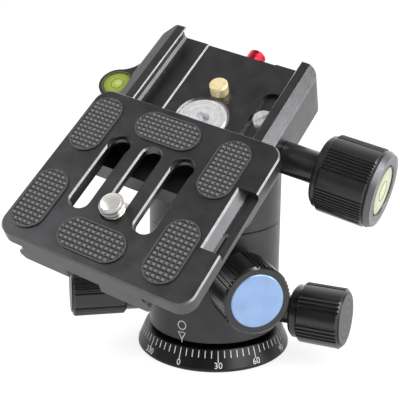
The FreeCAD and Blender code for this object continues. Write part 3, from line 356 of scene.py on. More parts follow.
def cut_edge_mask(tree, place, vector):
    """Rises on faces that slope outwards at 45 degrees, on the plate and jaw tops and the middle
    rail but not at the foot of the jaws' walls: where the painted bevel highlight goes, broken into patches by
    noise."""
    out = place.to_3x3() @ UP
    normal = add_node(tree, "ShaderNodeTexCoord").outputs["Normal"]
    along = add_node(tree, "ShaderNodeVectorMath", {0: normal, 1: out}, operation="DOT_PRODUCT")
    sloped = add_node(tree, "ShaderNodeMath",
                      {0: along.outputs["Value"], 1: math.cos(math.radians(45)), 2: SLOPE_TOLERANCE},
                      operation="COMPARE")
    parts = add_node(tree, "ShaderNodeSeparateXYZ", {0: vector})
    plate_top = add_node(tree, "ShaderNodeMath", {0: parts.outputs["Z"], 1: PLATE_EDGE_FOOT * MM},
                         operation="GREATER_THAN")
    jaw_top = add_node(tree, "ShaderNodeMath",
                       {0: parts.outputs["Z"], 1: JAW_LIP_HEIGHT * MM, 2: JAW_LIP_REACH * MM},
                       operation="COMPARE")
    high = add_node(tree, "ShaderNodeMath", {0: plate_top.outputs[0], 1: jaw_top.outputs[0]},
                    operation="MAXIMUM")
    aside = add_node(tree, "ShaderNodeMath", {0: parts.outputs["X"]}, operation="ABSOLUTE")
    middle = add_node(tree, "ShaderNodeMath", {0: aside.outputs[0], 1: SLOT_FIELD_HALF_WIDTH * MM},
                      operation="LESS_THAN")
    allowed = add_node(tree, "ShaderNodeMath", {0: high.outputs[0], 1: middle.outputs[0]},
                       operation="MAXIMUM")
    shown = add_node(tree, "ShaderNodeMath", {0: sloped.outputs[0], 1: allowed.outputs[0]},
                     operation="MULTIPLY")
    # noise that breaks the painted highlight into patches
    highlight_breaks = clouds(tree, vector, 2.5, 0.16, 0.26, 2.0)
    patchy_highlight = add_node(tree, "ShaderNodeMath", {0: shown.outputs[0], 1: highlight_breaks},
                    operation="MULTIPLY", use_clamp=True)
    return patchy_highlight.outputs[0]


def anodised_disc(name, place, colour, ring_radian):
    """Anodised aluminium, face turned then dyed: a satin colour with fine circular lines."""
    material, tree = start_material(name)
    vector = local_coordinates(tree, place)
    rings = add_node(tree, "ShaderNodeTexWave", {"Vector": vector, "Scale": ring_scale(ring_radian),
                                                 "Distortion": 0.4, "Detail": 2.0, "Detail Scale": 1.0},
                     wave_type="RINGS", rings_direction="Z")
    tone = blend_colours(tree, clouds(tree, vector, 5.0, 0.0, 1.0), tuple(colour),
                         tuple(0.86 * part for part in colour[:3]) + (1.0,))
    gloss = add_node(tree, "ShaderNodeMapRange",
                     {"Value": rings.outputs["Fac"], "To Min": 0.30, "To Max": 0.40})
    bump = add_node(tree, "ShaderNodeBump", {"Height": rings.outputs["Fac"], "Strength": 0.1,
                                             "Distance": 0.01 * MM})
    shader = add_node(tree, "ShaderNodeBsdfPrincipled",
                      {"Base Color": tone, "Metallic": 0.85, "Roughness": gloss.outputs["Result"],
                       "Normal": bump.outputs["Normal"]})
    end_material(tree, shader)
    return material


def turned_metal(name, place, light, dark, rough, plating=0.0):
    """Machined metal, turned or drawn, with fine lines round its axis, and a share of pale matt plating."""
    material, tree = start_material(name)
    vector = local_coordinates(tree, place)
    lines = add_node(tree, "ShaderNodeTexWave",
                     {"Vector": vector, "Scale": ring_scale(0.3), "Distortion": 1.0, "Detail": 3.0},
                     wave_type="RINGS", rings_direction="Z")
    tone = blend_colours(tree, clouds(tree, vector, 2.0, 0.0, 1.0), linear(light), linear(dark))
    gloss = add_node(tree, "ShaderNodeMapRange", {"Value": lines.outputs["Fac"], "To Min": rough - 0.05,
                                                  "To Max": rough + 0.07})
    shader = add_node(tree, "ShaderNodeBsdfPrincipled", {"Base Color": tone, "Metallic": 1.0 - plating,
                                                         "Roughness": gloss.outputs["Result"]})
    end_material(tree, shader)
    return material


def threaded_metal(name, place):
    """Nickel plate on a rolled thread: bright on the crests and flat end, with painted shade in the roots."""
    material, tree = start_material(name)
    vector = local_coordinates(tree, place)
    parts = add_node(tree, "ShaderNodeSeparateXYZ", {0: vector})
    flat = add_node(tree, "ShaderNodeCombineXYZ", {0: parts.outputs["X"], 1: parts.outputs["Y"]})
    radius = add_node(tree, "ShaderNodeVectorMath", {0: flat.outputs["Vector"]}, operation="LENGTH")
    crest = add_node(tree, "ShaderNodeMapRange",
                     {"Value": radius.outputs["Value"], "From Min": SCREW_ROOT_R * MM,
                      "From Max": SCREW_CREST_R * MM})
    end = add_node(tree, "ShaderNodeMath", {0: parts.outputs["Z"], 1: (SCREW_TIP - SCREW_BRIGHT_END) * MM},
                   operation="GREATER_THAN")
    unshaded = add_node(tree, "ShaderNodeMath", {0: crest.outputs["Result"], 1: end.outputs[0]},
                     operation="MAXIMUM")
    # painted shade: the thread's roots get a dark colour where the grooves would be shaded; crests and the end
    # face keep the plating's bright colour
    tone = blend_colours(tree, unshaded.outputs[0], linear("#4C4946"), linear("#F4F1EC"))
    shader = add_node(tree, "ShaderNodeBsdfPrincipled",
                      {"Base Color": tone, "Metallic": 0.7, "Roughness": 0.24})
    end_material(tree, shader)
    return material


def moulded_rubber(name, colour):
    """Moulded nitrile rubber: dull dark grey with a fine grain, and a painted highlight that makes the studs' tops
    lighter.
    """
    material, tree = start_material(name)
    vector = local_coordinates(tree, clamp_place())
    height = add_node(tree, "ShaderNodeSeparateXYZ", {0: vector}).outputs["Z"]
    # painted highlight: the top of each stud is coloured a lighter grey, as if lit from above
    stud_top_highlight = add_node(tree, "ShaderNodeMapRange",
                      {"Value": height, "From Min": PAD_STUD_SHOULDER * MM, "From Max": PAD_STUD_TOP * MM})
    dusty = blend_colours(tree, clouds(tree, vector, 1.5, 0.0, 1.0), tuple(colour),
                          tuple(1.35 * part for part in colour[:3]) + (1.0,))
    tone = blend_colours(tree, stud_top_highlight.outputs["Result"], dusty, linear("#6A696B"))
    grain = clouds(tree, vector, 0.2, 0.0, 1.0, 2.0)
    bump = add_node(tree, "ShaderNodeBump", {"Height": grain, "Strength": 0.25, "Distance": 0.03 * MM})
    shader = add_node(tree, "ShaderNodeBsdfPrincipled", {"Base Color": tone, "Roughness": 0.5,
                                                         "Normal": bump.outputs["Normal"], "IOR": 1.52})
    end_material(tree, shader)
    return material


LIQUID_PALE_SHARE = 0.35   # of a level's radius, where the liquid starts to darken


def level_liquid(name, place, colour, radius):
    """Dyed spirit behind acrylic: clear yellow-green, paler in the middle, glossy on top."""
    material, tree = start_material(name)
    vector = local_coordinates(tree, place)
    distance = add_node(tree, "ShaderNodeVectorMath", {0: vector}, operation="LENGTH")
    edge = add_node(tree, "ShaderNodeMapRange",
                    {"Value": distance.outputs["Value"], "From Min": radius * LIQUID_PALE_SHARE * MM,
                     "From Max": radius * MM, "To Max": 0.75})
    deep = tuple(0.35 * part for part in colour[:3]) + (1.0,)
    tone = blend_colours(tree, edge.outputs["Result"], tuple(colour), deep)
    shader = add_node(tree, "ShaderNodeBsdfPrincipled", {"Base Color": tone, "Roughness": 0.06, "IOR": 1.49,
                                                         "Coat Weight": 0.6, "Coat Roughness": 0.03})
    end_material(tree, shader)
    return material


def mark_paint(name, colour):
    """Enamel wiped into engraved lines: flat white with slightly uneven fill."""
    material, tree = start_material(name)
    coordinates = add_node(tree, "ShaderNodeTexCoord").outputs["Object"]
    tone = blend_colours(tree, clouds(tree, coordinates, 0.6, 0.0, 0.5), tuple(colour),
                         tuple(0.8 * part for part in colour[:3]) + (1.0,))
    shader = add_node(tree, "ShaderNodeBsdfPrincipled", {"Base Color": tone, "Roughness": 0.5})
    end_material(tree, shader)
    return material


def moulded_plastic(name, code):
    """Acetal bearing plastic: waxy off-white, only seen in the gaps."""
    material, tree = start_material(name)
    coordinates = add_node(tree, "ShaderNodeTexCoord").outputs["Object"]
    shade = clouds(tree, coordinates, 1.0, 0.32, 0.42)
    shader = add_node(tree, "ShaderNodeBsdfPrincipled", {"Base Color": linear(code), "Roughness": shade,
                                                         "IOR": 1.48})
    end_material(tree, shader)
    return material


CLAMP_BLACK_NODES = ("clamp_bed", "movable_jaw", "qr_plate")
# The housing and dial are dyed darker than the clamp: the share of its brightness they keep
HOUSING_BLACK_NODES = {"housing_body": 0.6, "top_collar": 0.6, "dial_ring": 0.35, "stem": 0.8}
KNOBS = {"main": "main_knob_turn", "friction": "friction_knob_turn", "pan": "pan_knob_turn",
         "clamp": "clamp_knob_turn"}


def finish_nodes(colours):
    """Each carried-over node's material, by node name."""
    base = Matrix.Identity(4)
    clamp = clamp_place()
    steel = turned_metal("Zinc plated steel", clamp, "#F4F4F6", "#DEDEE0", 0.28, 0.5)
    inner_steel = turned_metal("Turned steel", base, "#B9B9BC", "#9A9A9E", 0.35)
    brass = turned_metal("Turned brass", base, "#D8B56A", "#B98F45", 0.34)
    gold = turned_metal("Nickel brass pin", clamp, "#F7E7B8", "#EBD9A0", 0.36, 0.6)
    acetal = moulded_plastic("Acetal plastic", "#D9D6CC")
    finishes = {}
    for name in CLAMP_BLACK_NODES:
        finishes[name] = anodised_black("Black anodised " + name, clamp, colours, True)
    for name, depth in HOUSING_BLACK_NODES.items():
        finishes[name] = anodised_black("Black anodised " + name, base, colours, False, depth)
    for knob, joint in KNOBS.items():
        place = knob_place(joint)
        black = knob_black("Black anodised knob " + knob, place, colours)
        for part in ("_knob_screw", "_knob_grip", "_knob_neck"):
            finishes[knob + part] = black
    for knob in ("friction", "pan"):
        finishes[knob + "_knob_cap"] = anodised_disc("Dark anodised cap " + knob, knob_place(KNOBS[knob]),
                                                     linear("#3E3D40"), 0.35)
    finishes["clamp_knob_bezel"] = anodised_disc("Grey anodised bezel", knob_place(KNOBS["clamp"]),
                                                 linear("#77767A"), 0.35)
    finishes["main_knob_cap"] = anodised_disc("Blue anodised disc", knob_place(KNOBS["main"]),
                                              colours.blue, 0.4)
    finishes["release_button"] = anodised_disc("Red anodised button", clamp, colours.red, 0.3)
    finishes["safety_pin"] = gold
    for name in ("centre_screw", "jaw_screws", "stop_screws", "camera_screw", "clamp_spindle",
                 "jaw_guide_rods", "pin_spring", "button_spring"):
        finishes[name] = steel
    for name in ("ball", "thread_bush", "pan_retainer", "retainer_screws", "cup_spring", "main_lock_tip",
                 "friction_tip", "lift_cone", "base_disc"):
        finishes[name] = inner_steel
    for name in ("main_bush", "friction_bush", "pan_bush", "pan_lock_shoe"):
        finishes[name] = brass
    for name in ("pan_washer", "seat_liner", "ball_cup", "screw_washer"):
        finishes[name] = acetal
    return finishes


class BALLHEAD_OT_finishes(Operator):
    """Give every carried-over node its finish"""

    bl_idname = "ballhead.finishes"
    bl_label = "Finishes"

    def execute(self, context):
        finishes = finish_nodes(context.scene.ballhead_colours)
        for name, node in NODES.items():
            if name in finishes:
                paint(node, finishes[name])
        return {"FINISHED"}


# Dial and index mark

def stroke(width, length, relief):
    """One engraved line along local Y, filled with paint, standing on local Z, ends rounded."""
    bpy.ops.mesh.primitive_plane_add(size=1.0)
    item = bpy.context.active_object
    item.scale = (width, length, 1.0)
    bpy.ops.object.transform_apply(location=False, rotation=False, scale=True)
    bpy.ops.object.mode_set(mode="EDIT")
    bpy.ops.mesh.select_all(action="SELECT")
    bpy.ops.mesh.bevel(offset=width * 0.3, segments=2, affect="VERTICES")
    bpy.ops.mesh.select_all(action="SELECT")
    bpy.ops.mesh.extrude_region_move(TRANSFORM_OT_translate={"value": (0, 0, relief)})
    bpy.ops.object.mode_set(mode="OBJECT")
    return recalculate(item)


def slope_place(azimuth, share):
    """Frame on the dial's sloping face: Y up the slope, Z out of it, at a share of the way down."""
    (top_r, top_z), (rim_r, rim_z) = DIAL_TOP, DIAL_RIM
    radius = top_r + (rim_r - top_r) * share
    height = top_z + (rim_z - top_z) * share
    slope = math.atan2(rim_r - top_r, top_z - rim_z)
    stand = Matrix.Rotation(math.radians(90) - slope, 4, "X")
    turn = Matrix.Rotation(math.radians(azimuth), 4, "Z")
    return turn @ Matrix.Translation((0, -radius * MM, height * MM)) @ stand


def housing_place(azimuth, height):
    """Frame on the housing's wall: Y up, Z out."""
    stand = Matrix.Rotation(math.radians(90), 4, "X")
    turn = Matrix.Rotation(math.radians(azimuth), 4, "Z")
    return turn @ Matrix.Translation((0, -HOUSING_RADIUS * MM, height * MM)) @ stand


FONT_FIGURE_SHARE = 0.72   # height of a figure in Blender's own font, as a share of the font's size


def figure(words, height, relief):
    """A number cut as a thin solid, centred on the origin."""
    bpy.ops.object.text_add()
    item = bpy.context.active_object
    item.data.body = words
    item.data.size = height / FONT_FIGURE_SHARE
    item.data.align_x = "CENTER"
    item.data.align_y = "CENTER"
    item.data.extrude = relief
    item.data.resolution_u = 4
    take(item)
    bpy.ops.object.convert(target="MESH")
    return recalculate(bpy.context.active_object)


TICK_INSET = 0.35      # the lines start this far below the dial face's upper edge
FIGURE_DROP = 0.7      # a number's middle stands this share of its height below the long lines


class BALLHEAD_OT_dial(Operator):
    """Cut the dial's degree lines and numbers"""

    bl_idname = "ballhead.dial"
    bl_label = "Dial marks"

    def execute(self, context):
        sizes = context.scene.ballhead_sizes
        sink = sizes.mark_relief
        slope_length = math.dist(DIAL_TOP, DIAL_RIM) * MM
        marks = []
        short = stroke(sizes.tick_width, sizes.tick_length, sink * 2)
        long = stroke(sizes.tick_width, sizes.long_tick_length, sink * 2)
        for azimuth in range(0, 360, sizes.tick_step):
            is_long = azimuth % sizes.figure_step == 0
            length = sizes.long_tick_length if is_long else sizes.tick_length
            share = (length / 2 + TICK_INSET * MM) / slope_length
            tick = copy_of(long if is_long else short)
            marks.append(settle(tick, slope_place(azimuth, share) @ Matrix.Translation((0, 0, -sink))))
        for azimuth in range(0, 360, sizes.figure_step):
            share = (sizes.long_tick_length + sizes.figure_height * FIGURE_DROP) / slope_length
            number = figure(str(azimuth), sizes.figure_height, sink)
            marks.append(settle(number, slope_place(azimuth, share)))
        for pattern in (short, long):
            bpy.data.objects.remove(pattern)
        dial = join(marks, "dial_marks")
        paint(dial, mark_paint("White enamel fill dial", context.scene.ballhead_colours.mark))
        carry(dial, "base")
        return {"FINISHED"}


INDEX_AZIMUTH = -1.6       # the mark stands a little left of the zero line in the photo's pose
INDEX_RING_HEIGHT = 11.9
INDEX_RING_RADIUS = 1.25
INDEX_TRIANGLE_TOP = 9.75
INDEX_TRIANGLE_TIP = 7.7
INDEX_TRIANGLE_HALF_WIDTH = 1.15


class BALLHEAD_OT_index_mark(Operator):
    """Cut the ring, triangle and line above the dial's zero"""

    bl_idname = "ballhead.index_mark"
    bl_label = "Index mark"

    def execute(self, context):
        sizes = context.scene.ballhead_sizes
        width = sizes.tick_width
        sink = sizes.mark_relief
        bpy.ops.mesh.primitive_circle_add(vertices=40, radius=INDEX_RING_RADIUS * MM + width / 2,
                                          fill_type="NGON")
        ring = bpy.context.active_object
        bpy.ops.object.mode_set(mode="EDIT")
        bpy.ops.mesh.select_all(action="SELECT")
        bpy.ops.mesh.inset(thickness=width, depth=0)
        bpy.ops.mesh.delete(type="FACE")
        bpy.ops.mesh.select_all(action="SELECT")
        bpy.ops.mesh.extrude_region_move(TRANSFORM_OT_translate={"value": (0, 0, sink * 2)})
        bpy.ops.object.mode_set(mode="OBJECT")
        recalculate(ring)
        lower = Matrix.Translation((0, 0, -sink))
        marks = [settle(ring, housing_place(INDEX_AZIMUTH, INDEX_RING_HEIGHT) @ lower)]
        rise = INDEX_TRIANGLE_TOP - INDEX_TRIANGLE_TIP
        side = math.hypot(rise, INDEX_TRIANGLE_HALF_WIDTH) * MM
        lean = math.atan2(INDEX_TRIANGLE_HALF_WIDTH, rise)
        middle = housing_place(INDEX_AZIMUTH, (INDEX_TRIANGLE_TOP + INDEX_TRIANGLE_TIP) / 2) @ lower
        for hand in (-1, 1):
            edge = stroke(width, side, sink * 2)
            shift = Matrix.Translation((hand * INDEX_TRIANGLE_HALF_WIDTH / 2 * MM, 0, 0))
            marks.append(settle(edge, middle @ shift @ Matrix.Rotation(-hand * lean, 4, "Z")))
        top = stroke(INDEX_TRIANGLE_HALF_WIDTH * 2 * MM + width, width, sink * 2)
        marks.append(settle(top, housing_place(INDEX_AZIMUTH, INDEX_TRIANGLE_TOP) @ lower))
        line = stroke(width, (INDEX_TRIANGLE_TIP - HOUSING_FOOT) * MM, sink * 2)
        line_middle = housing_place(INDEX_AZIMUTH, (INDEX_TRIANGLE_TIP + HOUSING_FOOT) / 2)
        marks.append(settle(line, line_middle @ lower))
        index = join(marks, "index_mark")
        paint(index, mark_paint("White enamel fill index", context.scene.ballhead_colours.mark))
        carry(index, "housing")
        return {"FINISHED"}


# Rubber pads

# Each pad's node, and whether the pad lies across the plate
PAD_NODES = {"pad_left_rear": False, "pad_left_front": False, "pad_right_rear": False,
             "pad_right_front": False, "pad_middle_rear": True, "pad_middle_front": True}
PAD_LENGTH = 18.4
PAD_WIDTH = 9.2
PAD_THICKNESS = 1.0
PAD_RIM = 0.45
PAD_RIM_SLOPE = 0.1
PAD_FIELD_DEPTH = 0.2
STUD_FOOT = -0.22            # base of the studs, from the rim
STUD_SIDE_SHARE = 0.28       # width of a stud's sloping side, as a share of the pitch
STUD_SHEET = 0.3             # thickness of the sheet under the studs
PAD_STUD_SHOULDER = 10.58    # in the clamp's frame
PAD_STUD_TOP = 10.66


def oval_slab(length, width, bottom, top):
    """A slab with round ends along Y: a drum cut through the middle and drawn apart."""
    item = drum(width / 2, bottom, top, 48)
    bpy.ops.object.mode_set(mode="EDIT")
    bpy.ops.mesh.select_all(action="SELECT")
    bpy.ops.mesh.bisect(plane_co=(0, 0, 0), plane_no=(0, 1, 0), use_fill=False)
    bpy.ops.object.mode_set(mode="OBJECT")
    stretch = (length - width) / 2 * MM
    for vertex in item.data.vertices:
        if abs(vertex.co.y) > 1e-7:
            vertex.co.y += math.copysign(stretch, vertex.co.y)
    return item


def pad_body():
    """The pad without its studs: bevelled rim round a sunk field."""
    item = oval_slab(PAD_LENGTH, PAD_WIDTH, -PAD_THICKNESS, 0.0)
    take(item)
    bpy.ops.object.mode_set(mode="EDIT")
    pick(item, faces_up(0.0))
    bpy.ops.mesh.dissolve_faces()
    bpy.ops.mesh.inset(thickness=PAD_RIM * MM, depth=0)
    bpy.ops.mesh.inset(thickness=PAD_RIM_SLOPE * MM, depth=-PAD_FIELD_DEPTH * MM)
    bpy.ops.object.mode_set(mode="OBJECT")
    return item


def stud_field(pitch, height):
    """Rows of small pyramids, trimmed to the pad's sunk field."""
    cells = int(PAD_LENGTH * MM / pitch * 1.2) + 2
    bpy.ops.mesh.primitive_grid_add(x_subdivisions=cells, y_subdivisions=cells, size=cells * pitch)
    field = bpy.context.active_object
    field.location = (0, 0, STUD_FOOT * MM)
    bpy.ops.object.transform_apply(location=True, rotation=False, scale=False)
    bpy.ops.object.mode_set(mode="EDIT")
    bpy.ops.mesh.select_all(action="SELECT")
    bpy.ops.mesh.inset(thickness=pitch * STUD_SIDE_SHARE, depth=height, use_individual=True)
    bpy.ops.object.mode_set(mode="OBJECT")
    apply_modifier(field, "SOLIDIFY", thickness=STUD_SHEET * MM, offset=-1.0)
    recalculate(field)
    trim = oval_slab(PAD_LENGTH - 2 * PAD_RIM, PAD_WIDTH - 2 * PAD_RIM, -PAD_THICKNESS * 0.9, 2.0)
    apply_modifier(field, "BOOLEAN", operation="INTERSECT", object=trim, solver="EXACT")
    bpy.data.objects.remove(trim)
    return field


class BALLHEAD_OT_pads(Operator):
    """Mould the six rubber pads with their studded fields"""

    bl_idname = "ballhead.pads"
    bl_label = "Rubber pads"

    def execute(self, context):
        sizes = context.scene.ballhead_sizes
        rubber = moulded_rubber("Nitrile rubber", context.scene.ballhead_colours.rubber)
        pattern = join([pad_body(), stud_field(sizes.stud_pitch, sizes.stud_height)], "pad_pattern")
        into_clamp = clamp_place().inverted()
        for name, crosswise in PAD_NODES.items():
            corners = [into_clamp @ vertex.co for vertex in NODES[name].data.vertices]
            middle = [(min(c[i] for c in corners) + max(c[i] for c in corners)) / 2 for i in range(2)]
            height = max(corner.z for corner in corners)
            place = clamp_place(middle[0] / MM, middle[1] / MM, height / MM)
            if crosswise:
                place = place @ Matrix.Rotation(math.radians(90), 4, "Z")
            pad = settle(copy_of(pattern), place)
            pad.name = pad.data.name = name + "_tread"
            paint(pad, rubber)
            smooth(pad, 25)
            carry(pad, "plate", [name])
        bpy.data.objects.remove(pattern)
        return {"FINISHED"}


# Camera screw

SCREW_CREST_R = 3.17
SCREW_ROOT_R = 2.62
SCREW_NECK_R = 2.2
SCREW_HEAD_R = 4.3
SCREW_THREAD_BOTTOM = 10.35
SCREW_TIP = 13.3
SCREW_HEAD_BOTTOM = 4.6
SCREW_HEAD_TOP = 7.0
SCREW_SLOT_WIDTH = 1.2
SCREW_SLOT_DEPTH = 0.9
SCREW_THREAD_END = 0.35      # the thread stops this far below the tip
SCREW_BRIGHT_END = 0.4        # and the bright end face starts this far below it


CREST_FLAT = 0.15    # width of the thread's flat crest, as a share of the pitch


def thread_skin(pitch, crest, root, bottom, top):
    """A V thread spun round Z, trimmed flat below and above and closed."""
    half = pitch / MM / 2
    rows = [(root, 0.0), (crest, half * (1 - CREST_FLAT)), (crest, half * (1 + CREST_FLAT)), (root, half * 2)]
    mesh = bpy.data.meshes.new("thread")
    mesh.from_pydata([(r * MM, 0, z * MM) for r, z in rows], [(0, 1), (1, 2), (2, 3)], [])
    item = bpy.data.objects.new("thread", mesh)
    bpy.context.scene.collection.objects.link(item)
    turns = int((top - bottom) / (pitch / MM)) + 4    # enough to trim some off at both ends
    apply_modifier(item, "SCREW", axis="Z", angle=math.radians(360), screw_offset=pitch, iterations=turns,
                   steps=36, render_steps=36, use_merge_vertices=True, merge_threshold=1e-7)
    item.location = (0, 0, (bottom - 2 * half * 1.5) * MM)
    bpy.ops.object.transform_apply(location=True, rotation=False, scale=False)
    bpy.ops.object.mode_set(mode="EDIT")
    for height, clear_outer in ((bottom, False), (top, True)):
        bpy.ops.mesh.select_all(action="SELECT")
        bpy.ops.mesh.bisect(plane_co=(0, 0, height * MM), plane_no=(0, 0, 1), use_fill=True,
                            clear_inner=not clear_outer, clear_outer=clear_outer)
    bpy.ops.object.mode_set(mode="OBJECT")
    return recalculate(item)


def coin_slot_head():
    """The screw's flat head with the wide slot for a coin, and its neck above."""
    head = drum(SCREW_HEAD_R, SCREW_HEAD_BOTTOM, SCREW_HEAD_TOP)
    apply_modifier(head, "BEVEL", width=0.25 * MM, segments=2, angle_limit=math.radians(40))
    bpy.ops.mesh.primitive_cube_add(size=1.0, location=(0, 0, SCREW_HEAD_BOTTOM * MM))
    cutter = bpy.context.active_object
    cutter.scale = (3 * SCREW_HEAD_R * MM, SCREW_SLOT_WIDTH * MM, 2 * SCREW_SLOT_DEPTH * MM)
    bpy.ops.object.transform_apply(location=True, rotation=False, scale=True)
    apply_modifier(head, "BOOLEAN", operation="DIFFERENCE", object=cutter, solver="EXACT")
    bpy.data.objects.remove(cutter)
    neck = drum(SCREW_NECK_R, SCREW_HEAD_TOP - 0.1, SCREW_THREAD_BOTTOM + 0.1)
    return [head, neck]


class BALLHEAD_OT_camera_screw(Operator):
    """Turn the camera screw with its real thread"""

    bl_idname = "ballhead.camera_screw"
    bl_label = "Camera screw"

    def execute(self, context):
        pitch = context.scene.ballhead_sizes.thread_pitch
        thread = thread_skin(pitch, SCREW_CREST_R, SCREW_ROOT_R, SCREW_THREAD_BOTTOM,
                             SCREW_TIP - SCREW_THREAD_END)
        cap = drum(SCREW_ROOT_R, SCREW_TIP - 0.6, SCREW_TIP)
        apply_modifier(cap, "BEVEL", width=0.3 * MM, segments=2, angle_limit=math.radians(40))
        screw = join([thread, cap] + coin_slot_head(), "camera_screw_threaded")
        place = clamp_place(0, CAMERA_SCREW_Y, 0)
        settle(screw, place)
        smooth(screw, 30)
        paint(screw, threaded_metal("Nickel plated thread", place))
        carry(screw, "camera_screw", ["camera_screw"])
        return {"FINISHED"}


# Levels

# Parts of a level, each as a share of its radius
SIGHT_RING_R = 0.4
SIGHT_WIRE_R = 0.02
BUBBLE_R = 0.3
BUBBLE_OFF_CENTRE = (0.04, 0.06)
BUBBLE_FLATNESS = 0.1
DOME_STEPS = 4


def level_parts(radius, depth, rim):
    """Ring wall, liquid with a domed top, sight ring and bubble, all facing local +Z at z 0."""
    wall = drum(radius, -depth, 0.0)
    bpy.ops.object.mode_set(mode="EDIT")
    pick(wall, faces_up(0.0))
    bpy.ops.mesh.inset(thickness=rim * radius * MM, depth=0)
    bpy.ops.mesh.inset(thickness=0.3 * rim * radius * MM, depth=-rim * radius * MM)
    bpy.ops.object.mode_set(mode="OBJECT")
    sunk = rim * 0.8
    liquid = drum(radius * (1 - 1.35 * rim), -depth * 0.6, -sunk * radius)
    bpy.ops.object.mode_set(mode="EDIT")
    pick(liquid, faces_up(-sunk * radius * MM))
    for step in range(DOME_STEPS):
        bpy.ops.mesh.inset(thickness=0.14 * radius * MM, depth=0.15 * sunk * radius * MM / (step + 1))
    bpy.ops.object.mode_set(mode="OBJECT")
    bpy.ops.mesh.primitive_torus_add(major_radius=SIGHT_RING_R * radius * MM,
                                     minor_radius=SIGHT_WIRE_R * radius * MM,
                                     major_segments=48, minor_segments=8,
                                     location=(0, 0, -(sunk * 0.7 + 0.01) * radius * MM))
    sight = bpy.context.active_object
    bpy.ops.object.transform_apply(location=True, rotation=False, scale=False)
    bpy.ops.mesh.primitive_uv_sphere_add(segments=32, ring_count=16, radius=BUBBLE_R * radius * MM)
    bubble = bpy.context.active_object
    bubble.scale = (1, 1, BUBBLE_FLATNESS)
    across, along = BUBBLE_OFF_CENTRE
    bubble.location = Vector((across, along, -(sunk * 0.7 + 0.02))) * radius * MM
    bpy.ops.object.transform_apply(location=True, rotation=False, scale=True)
    return wall, liquid, sight, bubble


def make_level(node, place, shape, body, colours, wall_material):
    radius, depth, rim = shape
    wall, liquid, sight, bubble = level_parts(radius, depth, rim)
    paint(wall, wall_material)
    paint(liquid, level_liquid("Level liquid " + node, place, colours, radius))
    paint(sight, moulded_plastic("Black sight ring " + node, "#1C1D18"))
    pale = tuple(0.15 + 0.85 * part for part in colours[:3]) + (1.0,)
    paint(bubble, level_liquid("Level bubble " + node, place, pale, radius * 2))
    level = join([wall, liquid, sight, bubble], node + "_vial")
    settle(level, place)
    smooth(level, 40)
    return carry(level, body, [node])


# Radius and depth in millimetres, then the wall's width as a share of the radius
LUG_LEVEL = (4.5, 3.8, 0.1)
KNOB_LEVEL = (6.6, 3.0, 0.035)


class BALLHEAD_OT_levels(Operator):
    """Build the two round levels with their liquid, sight ring and bubble"""

    bl_idname = "ballhead.levels"
    bl_label = "Round levels"

    def execute(self, context):
        colours = context.scene.ballhead_colours
        lug = clamp_place(*LUG_LEVEL_PLACE)
        lug_wall = level_liquid("Clear acrylic cup", lug, linear("#565A3A"), LUG_LEVEL[0] * 2)
        make_level("lug_level", lug, LUG_LEVEL, "clamp", colours.lug_liquid, lug_wall)
        knob = clamp_place(*KNOB_LEVEL_PLACE) @ Matrix.Rotation(math.radians(90), 4, "Y")
        knob_wall = moulded_plastic("Black vial seat", "#202022")
        make_level("knob_level", knob, KNOB_LEVEL, "clamp_knob", colours.liquid, knob_wall)
        return {"FINISHED"}


# Stage

CAMERA_PLACE = ((119.56, -245.79, 125.49), (0.8905, 0.4549, 0.0106), (-0.1113, 0.1953, 0.9744),
                (0.4412, -0.8688, 0.2245))    # position in millimetres, then right, up and back
CAMERA_LENS = 86.42
CAMERA_SHIFT_Y = -0.15


def add_camera():
    spot, right, up, back = CAMERA_PLACE
    data = bpy.data.cameras.new("Camera")
    data.lens = CAMERA_LENS
    data.sensor_width = 36.0
    data.shift_y = CAMERA_SHIFT_Y
    data.clip_start = 0.01
    data.clip_end = 20.0
    camera = bpy.data.objects.new("Camera", data)
    camera.matrix_world = axes_place(Vector(spot) * MM, Vector(right), Vector(up), Vector(back))
    bpy.context.scene.collection.objects.link(camera)
    bpy.context.scene.camera = camera
    return camera


# Name, place and size in millimetres, and power in watts
SOFTBOXES = (("Key softbox", (-420, -380, 520), (420, 420), 2.4),
             ("Fill softbox", (560, -260, 300), (300, 500), 1.6),
             ("Rim softbox", (520, 90, 280), (240, 420), 1.3),
             ("Top softbox", (380, -60, 620), (140, 140), 1.4))
LAMP_AIM = (0, -10, 45)
ROOM_LIGHT = 0.62


def add_softbox(name, spot, aim, size, power):
    """A rectangular studio lamp at a spot, aimed at a point, all in millimetres."""
    data = bpy.data.lights.new(name, "AREA")
    data.shape = "RECTANGLE"
    data.size = size[0] * MM
    data.size_y = size[1] * MM
    data.energy = power
    lamp = bpy.data.objects.new(name, data)
    back = (Vector(spot) - Vector(aim)).normalized()
    turn = back.to_track_quat("Z", "Y").to_matrix().to_4x4()
    lamp.matrix_world = Matrix.Translation(Vector(spot) * MM) @ turn
    bpy.context.scene.collection.objects.link(lamp)
    return lamp


# How bright the room looks in the object's mirrored rays: a white cove behind it and a dim
# room above it and at the camera's end
COVE_DIRECTION = (-0.43, 0.84, -0.33)
COVE_GLOW = 1.7
ROOM_GLOW = 0.13


def mirrored_room(tree):
    direction = add_node(tree, "ShaderNodeTexCoord").outputs["Generated"]
    toward = add_node(tree, "ShaderNodeVectorMath", {0: direction, 1: COVE_DIRECTION},
                      operation="DOT_PRODUCT")
    glow = add_node(tree, "ShaderNodeMapRange",
                    {"Value": toward.outputs["Value"], "From Min": -0.25, "From Max": 0.75,
                     "To Min": ROOM_GLOW, "To Max": COVE_GLOW}, interpolation_type="SMOOTHSTEP")
    return glow.outputs["Result"]


def choose(tree, factor, without, with_it):
    """A number that is the second value where the factor is one."""
    return add_node(tree, "ShaderNodeMix", {"Factor": factor, "A": without, "B": with_it}).outputs["Result"]


